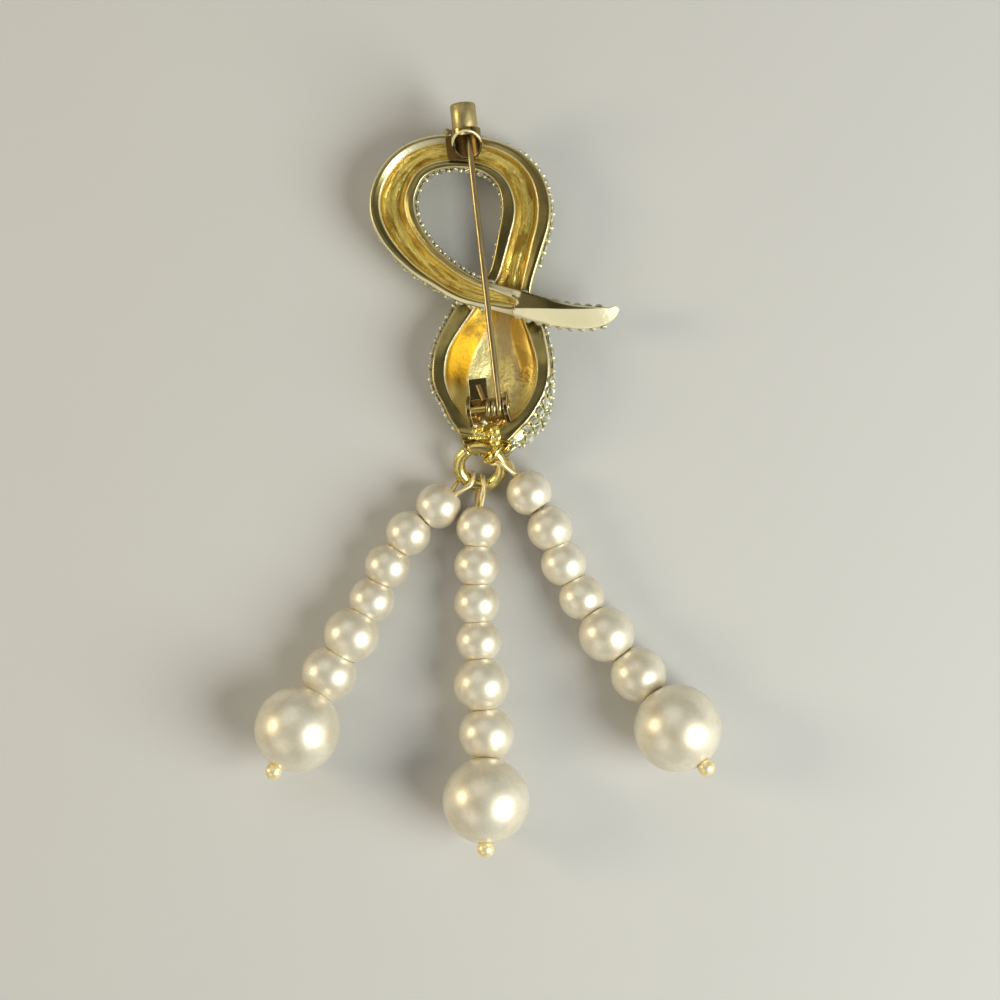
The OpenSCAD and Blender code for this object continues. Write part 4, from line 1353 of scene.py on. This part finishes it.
# The bracket: its ears (inner face, thickness, round top, rivet hole, splayed foot, where
# the foot's edge leaves the round), and its plate under the rivet
EAR_IN, EAR_T, EAR_R, EAR_HOLE_R = 1.81, 0.45, 1.1, 0.36
EAR_FOOT, EAR_SHOULDER, SHOULDER_TURN = 1.7, Vector((0.9526, 0.55)), math.radians(30)
EAR_OUT = EAR_IN + EAR_T
EAR_SIDES = 40
PLATE_Z, PLATE_T = -1.42, 0.3
PLATE_TOP = PLATE_Z + PLATE_T
# Outlines of its plate and its tongue: two opposite corners, radius, rounded corners
HINGE_PLATE = (-EAR_OUT, -1.45, EAR_OUT, 1.2, 0.25, (1, 1, 0, 0))
HINGE_TONGUE = (-1.9, 1.15, 0.1, 3.5, 0.16, (0, 0, 1, 1))


def ear_reach(turn):
    """How far an ear reaches from the rivet's axis at an angle."""
    way = Vector((abs(math.cos(turn)), math.sin(turn)))
    if way.y >= math.sin(SHOULDER_TURN):
        return EAR_R
    edge = Vector((EAR_FOOT, PLATE_Z)) - EAR_SHOULDER
    slope = (EAR_SHOULDER.x * edge.y - EAR_SHOULDER.y * edge.x) / (
        way.x * edge.y - way.y * edge.x)
    below = PLATE_Z / way.y if way.y < 0 else slope
    return min(slope, below) if slope > 0 else below


def ear(bm, side, matrix):
    """An ear of the hinge: round above, splayed at its foot, drilled for the rivet."""
    turns = [2 * math.pi * k / EAR_SIDES for k in range(EAR_SIDES)]
    corner = math.atan2(PLATE_Z, EAR_FOOT)
    for mark in (corner % (2 * math.pi), math.pi - corner):
        turns[min(range(EAR_SIDES), key=lambda k: abs(turns[k] - mark))] = mark
    loops, start = [], len(bm.verts)
    for radius in (ear_reach, lambda turn: EAR_HOLE_R):
        verts, edges = circle(bm, EAR_SIDES, 1)
        for v, turn in zip(verts, turns):
            v.co = Vector((side, radius(turn) * math.cos(turn), radius(turn) * math.sin(turn)))
        loops += edges
    faces = bmesh.ops.bridge_loops(bm, edges=loops)["faces"]
    thicken(bm, faces, (EAR_T, 0, 0))
    bm.verts.ensure_lookup_table()
    bmesh.ops.transform(bm, matrix=matrix, verts=bm.verts[start:])


# Solder on the plate: two patches of grains, each with its reach along X and Y
SOLDER_GRAINS = 22
SOLDER_BEHIND = ((-1.7, 1.6), (-1.75, -1.3))
SOLDER_LEFT = ((-1.7, -0.9), (-1.2, 0.6))
# The rivet's domed head, outwards from the ear, and the coil's leg that rests on the plate
RIVET_HEAD = ((0.0, 0.18), (0.26, 0.17), (0.42, 0.12), (0.5, 0.04), (0.5, 0.0), (0.32, 0.0))
SPRING_LEG = ((-0.38, 0.92, -0.8), (-0.5, 1.35, -0.82), (-0.65, 1.95, -0.83),
              (-0.83, 2.75, -0.83))


class BROOCH_OT_hinge(bpy.types.Operator):
    """Makes the hinge's bracket and its rivet, and the coil's resting leg"""

    bl_idname = "brooch.hinge"
    bl_label = "Hinge"

    def execute(self, context):
        bm = bmesh.new()
        for side in (EAR_IN, -EAR_OUT):
            ear(bm, side, AT_HINGE)
        plate(bm, rounded(*HINGE_PLATE), PLATE_Z, PLATE_T, AT_HINGE)
        from_brooch = AT_HINGE.inverted()
        paint([f for f in bm.faces
               if (from_brooch @ f.calc_center_median()).z < PLATE_TOP + 0.01], 1)
        plate(bm, rounded(*HINGE_TONGUE), PLATE_Z, PLATE_T, AT_HINGE)
        skin(bm)
        draw = random.Random(5)
        for k in range(SOLDER_GRAINS):
            spot = SOLDER_BEHIND if k % 3 else SOLDER_LEFT
            at = [draw.uniform(*reach) for reach in spot]
            built = set(bm.faces)
            lump(bm, AT_HINGE @ Vector((*at, PLATE_TOP)), draw.uniform(0.4, 0.75),
                 draw.uniform(0, 50), 0.7)
            # Every fourth grain is painted pale for wear and painted highlight
            for face in set(bm.faces) - built:
                face.material_index, face.smooth = 1 if k % 4 else 2, True
        add_piece("hinge_bracket_cut", bm, "brooch",
                  ["dark_gold", "solder_gold", "pale_gold"], ["hinge_bracket"], 0, 0.04)
        bm = bmesh.new()
        end = EAR_OUT + 0.03
        head = [(r, end + z) for r, z in RIVET_HEAD]
        lathe(bm, head + [(r, -z) for r, z in reversed(head)],
              AT_HINGE @ Matrix.Rotation(math.pi / 2, 4, "Y"), 32, False)
        skin(bm, True)
        add_piece("hinge_rivet_domed", bm, "brooch", ["gold"], ["hinge_rivet"],
                  0, 0.02)
        bm = bmesh.new()
        tube(bm, [AT_HINGE @ p for p in curve_through(SPRING_LEG, 0.3)], 0.3, 16)
        skin(bm)
        add_piece("spring_leg", bm, "brooch", ["drawn_gold"], [], 0, 0.05)
        return {"FINISHED"}


# The pin's wire: its coil on the rivet, where the needle stands beside the middle, and
# the needle's point, as distances from the rivet and radii
COIL_R, COIL_WIRE_R, COIL_PITCH = 0.7, 0.305, 0.62
COIL_TURNS, COIL_STEPS = 2.5, 28
NEEDLE_SIDE = 1.35
NEEDLE_POINT = ((26.4, 0.335), (27.2, 0.31), (28, 0.27), (28.8, 0.2), (29.4, 0.13),
                (29.7, 0.085), (29.8, 0.04))


class BROOCH_OT_pin(bpy.types.Operator):
    """Winds the pin's coil and draws its needle out to a point"""

    bl_idname = "brooch.pin"
    bl_label = "Pin"

    def execute(self, context):
        bm = bmesh.new()
        path, radii = [], []
        count = int(COIL_TURNS * COIL_STEPS)
        for k in range(count + 1):
            back = COIL_TURNS * (1 - k / count)
            t = math.pi / 2 - 2 * math.pi * back
            path.append(Vector((NEEDLE_SIDE - COIL_PITCH * back,
                                -COIL_R * math.cos(t), COIL_R * math.sin(t))))
            radii.append(COIL_WIRE_R)
        run = [0.3, 0.7, 1.2, 1.8] + [2.6 + 1.45 * k for k in range(17)]
        shaft = [(y, COIL_WIRE_R + 0.035 * min(y / 2, 1)) for y in run]
        for y, r in (*shaft, *NEEDLE_POINT):
            path.append(Vector((NEEDLE_SIDE, y, COIL_R)))
            radii.append(r)
        tube(bm, [AT_HINGE @ p for p in path],
             lambda t: radii[round(t * (len(radii) - 1))], 18)
        skin(bm)
        add_piece("pin_needle", bm, "pin", ["needle_gold"], ["pin_stem"])
        return {"FINISHED"}


# The catch, along the needle's line: its barrel is a band with a trough behind it, whose
# walls slope down to a mouth and are slit on the left for the knob
BARREL_R, BORE_R = 1.65, 1.43
BAND_FROM, BAND_TO, TROUGH_END = 0.35, 0.75, -2
MOUTH_Z, SLOT_W = -1.35, 0.7
LIP_R, LIP_WIRE_R, LIP_SLOPE = 1.59, 0.15, 1.234
# Outlines and thicknesses of its plate and of the saddle on it, and where both begin
CATCH_PLATE = (-2.5, TROUGH_END, 1, BAND_TO, 0.3), 0.3
CATCH_SADDLE = (-0.9, TROUGH_END, 0.9, BAND_TO, 0.1), 0.8
CATCH_FOOT = 4.6 - CATCH_Z
# The sliding tube with its closed, rounded end, and the knob on its left
TUBE_R, TUBE_WALL, TUBE_ROUND = 1.4, 0.25, 0.3
TUBE_FROM, TUBE_TO = 0.5, 3.65
KNOB_AT, KNOB_R = (-2.0, 0.8, 0), 0.375
KNOB_STEM = ((0.225, 0.32), (0.225, 0.75), (0.0, 0.75))


class BROOCH_OT_catch(bpy.types.Operator):
    """Makes the catch: its cut-away barrel on a saddle, and the sliding tube"""

    bl_idname = "brooch.catch"
    bl_label = "Catch"

    def execute(self, context):
        bm = bmesh.new()
        wall = [(BARREL_R, y) for y in (TROUGH_END, BAND_FROM, BAND_TO)]
        wall += [(BORE_R, y) for _, y in reversed(wall)]
        lathe(bm, wall, LYING, 64)
        skin(bm, True)
        slope = Vector((0, MOUTH_Z + 0.1 - BARREL_R, BAND_FROM - TROUGH_END)).normalized()
        trough = [f for f in bm.faces if f.calc_center_median().y < BAND_FROM - 0.01]
        geom = list({g for f in trough for g in (f, *f.edges, *f.verts)})
        bmesh.ops.bisect_plane(bm, geom=geom, plane_co=(0, TROUGH_END, MOUTH_Z),
                               plane_no=slope, clear_outer=True, dist=MERGE)
        for up in (-SLOT_W / 2, SLOT_W / 2):
            bmesh.ops.bisect_plane(bm, geom=[*bm.verts, *bm.edges, *bm.faces],
                                   plane_co=(0, 0, up), plane_no=(0, 0, 1), dist=MERGE)
        middles = {f: f.calc_center_median() for f in bm.faces}
        slot = [f for f, at in middles.items() if abs(at.z) < SLOT_W / 2 - 0.01 and at.x < 0]
        bmesh.ops.delete(bm, geom=slot, context="FACES")
        bmesh.ops.holes_fill(bm, edges=[e for e in bm.edges if e.is_boundary], sides=0)
        # Faces inside the bore take the brown of painted shade
        for face in bm.faces:
            face.normal_update()
            middle = face.calc_center_median()
            inside = middle.x ** 2 + middle.z ** 2 < (BORE_R + 0.02) ** 2
            face.material_index = 1 if inside and abs(face.normal.y) < 0.4 else 0
        bmesh.ops.transform(bm, matrix=AT_CATCH, verts=bm.verts)
        barrel = set(bm.faces)
        for outline, thick in (CATCH_PLATE, CATCH_SADDLE):
            plate(bm, rounded(*outline), CATCH_FOOT, thick, AT_CATCH)
        plates = set(bm.faces) - barrel
        # The rolled lip is painted cream for wear and painted highlight
        lip = [AT_CATCH @ Vector((x, (z - MOUTH_Z) / LIP_SLOPE + TROUGH_END, z))
               for x, z in arc(LIP_R, 4, 176, 24)]
        tube(bm, lip, lambda t: LIP_WIRE_R * min(1, 0.4 + 5 * min(t, 1 - t)), 10)
        skin(bm)
        # The plates take the same brown of painted shade
        paint(plates, 1)
        paint(set(bm.faces) - barrel - plates, 2)
        add_piece("catch_barrel_cut", bm, "brooch",
                  ["dark_gold", "browned_gold", "cream_gold"], ["catch_barrel"], 0, 0.08)
        bm = bmesh.new()
        inner, floor = TUBE_R - TUBE_WALL, TUBE_TO - TUBE_WALL
        turned = [math.radians(a) for a in (22, 45, 68, 90)]
        lathe(bm, [
            (TUBE_R - 0.03, TUBE_FROM), (TUBE_R, TUBE_FROM + 0.04),
            (TUBE_R, TUBE_TO - TUBE_ROUND),
            *((TUBE_R + TUBE_ROUND * (math.cos(a) - 1), TUBE_TO + TUBE_ROUND * (math.sin(a) - 1))
              for a in turned),
            (0.0, TUBE_TO), (0.0, floor), (inner - 0.1, floor), (inner, floor - 0.1),
            (inner, TUBE_FROM + 0.02), (inner + 0.03, TUBE_FROM),
        ], AT_CATCH @ LYING, 64)
        knob = [(0.0, -KNOB_R), *arc(KNOB_R, -72, 36, 6), *KNOB_STEM]
        lathe(bm, knob, AT_CATCH @ Matrix.Translation(KNOB_AT) @ Matrix.Rotation(
            math.pi / 2, 4, "Y"), 24, False)
        skin(bm, True)
        add_piece("catch_tube", bm, "slider", ["tube_gold"], ["catch_slider"])
        return {"FINISHED"}


# The tints of the room on its two sides, and the soft lights: way to each from the brooch,
# distance and width in metres, power in watts and colour
WARM_AIR, CLEAR_AIR = (1.0, 0.92, 0.76), (0.95, 1.0, 0.92)
LIGHTS = {
    "key_light": ((0.76, -0.31, 0.57), 0.42, 0.3, 1.9, (0.98, 1, 0.95)),
    "warm_light": ((-0.872, 0.105, 0.474), 0.4, 0.15, 0.5, (1, 0.86, 0.58)),
    "high_light": ((-0.2, 0.6, 0.77), 0.5, 0.5, 0.42, (1, 0.99, 0.94)),
    "front_light": ((-0.5, -0.6, 0.62), 0.46, 0.34, 0.24, (1, 0.98, 0.9)),
}
# The place that the camera and the lights look at, and the way from there to the camera
LOOK_AT = PLACE @ Vector((0.054, -0.178, 2.5))
TO_CAMERA = Vector((0.10, -0.03, 1)).normalized()
FLOOR_HALF = 0.6


def studio():
    """The room round the brooch: dark overhead and behind, lighter low down, warm on the left."""
    room = Finish("studio", "worlds")
    way = room.node("ShaderNodeTexCoord", output="Generated")
    right, away, height = (
        room.node("ShaderNodeSeparateXYZ", None, {0: way}, axis) for axis in "XYZ")
    light = room.ramp(height, (0.0, 0.36), (0.4, 0.2), (0.8, 0.09), (1.0, 0.07))
    light = light * room.ramp(away * 0.5 + 0.5, (0.45, 1.0), (1.0, 0.75))
    tint = room.mix(room.ramp(right * 0.5 + 0.5, (0.2, 0.0), (0.7, 1.0)), WARM_AIR, CLEAR_AIR)
    glow = room.node("ShaderNodeBackground", None, {"Color": room.mix(light, (0, 0, 0), tint)})
    room.node("ShaderNodeOutputWorld", None, {"Surface": glow})
    return room.made


def soft_light(name, toward, distance, size, power, tint):
    """A soft box that faces the brooch from a direction."""
    lamp = bpy.data.lights.new(name, "AREA")
    lamp.shape, lamp.size = "DISK", size
    lamp.energy, lamp.color = power, tint
    box = bpy.data.objects.new(name, lamp)
    way = Vector(toward).normalized()
    box.location = LOOK_AT + way * distance
    box.rotation_euler = way.to_track_quat("Z", "Y").to_euler()
    bpy.context.scene.collection.objects.link(box)


class BROOCH_OT_stage(bpy.types.Operator):
    """Sets the pale floor, the soft lights and the camera"""

    bl_idname = "brooch.stage"
    bl_label = "Stage"

    def execute(self, context):
        scene = context.scene
        bm = bmesh.new()
        bmesh.ops.create_grid(bm, x_segments=1, y_segments=1, size=FLOOR_HALF)
        mesh = mesh_of("floor", bm)
        mesh.materials.append(finish("pale_floor"))
        floor = bpy.data.objects.new("floor", mesh)
        scene.collection.objects.link(floor)
        for name, light in LIGHTS.items():
            soft_light(name, *light)
        scene.world = studio()
        lens = bpy.data.cameras.new("camera")
        lens.sensor_width, lens.lens = 36, 83.9
        lens.clip_start, lens.clip_end = 0.01, 10
        camera = bpy.data.objects.new("camera", lens)
        side = Vector((0, 1, 0)).cross(TO_CAMERA).normalized()
        turn = Matrix((side, TO_CAMERA.cross(side), TO_CAMERA)).transposed().to_4x4()
        distance = scene.brooch_sizes.camera_distance
        camera.matrix_world = Matrix.Translation(LOOK_AT + TO_CAMERA * distance) @ turn
        scene.collection.objects.link(camera)
        scene.camera = camera
        scene.view_settings.view_transform = "Standard"
        return {"FINISHED"}


PIECES = (
    BROOCH_OT_snake, BROOCH_OT_pave, BROOCH_OT_jump_ring, BROOCH_OT_pearls,
    BROOCH_OT_threads, BROOCH_OT_hinge, BROOCH_OT_pin, BROOCH_OT_catch, BROOCH_OT_stage,
)


class BROOCH_PT_panel(bpy.types.Panel):
    """Lists the brooch's pieces, sizes and colours"""

    bl_idname = "BROOCH_PT_panel"
    bl_label = "Snake Brooch"
    bl_space_type = "VIEW_3D"
    bl_region_type = "UI"
    bl_category = "Brooch"

    def draw(self, context):
        for operator in PIECES:
            self.layout.operator(operator.bl_idname)
        for group in (context.scene.brooch_sizes, context.scene.brooch_colours):
            for name in group.__annotations__:
                self.layout.prop(group, name)


CLASSES = (BroochSizes, BroochColours, *PIECES, BROOCH_PT_panel)


def register():
    for cls in CLASSES:
        bpy.utils.register_class(cls)
    bpy.types.Scene.brooch_sizes = PointerProperty(type=BroochSizes)
    bpy.types.Scene.brooch_colours = PointerProperty(type=BroochColours)


def unregister():
    del bpy.types.Scene.brooch_colours
    del bpy.types.Scene.brooch_sizes
    for cls in reversed(CLASSES):
        bpy.utils.unregister_class(cls)


def main():
    """Builds every piece in order."""
    register()
    for operator in PIECES:
        family, name = operator.bl_idname.split(".")
        getattr(getattr(bpy.ops, family), name)()


if __name__ == "__main__":
    main()
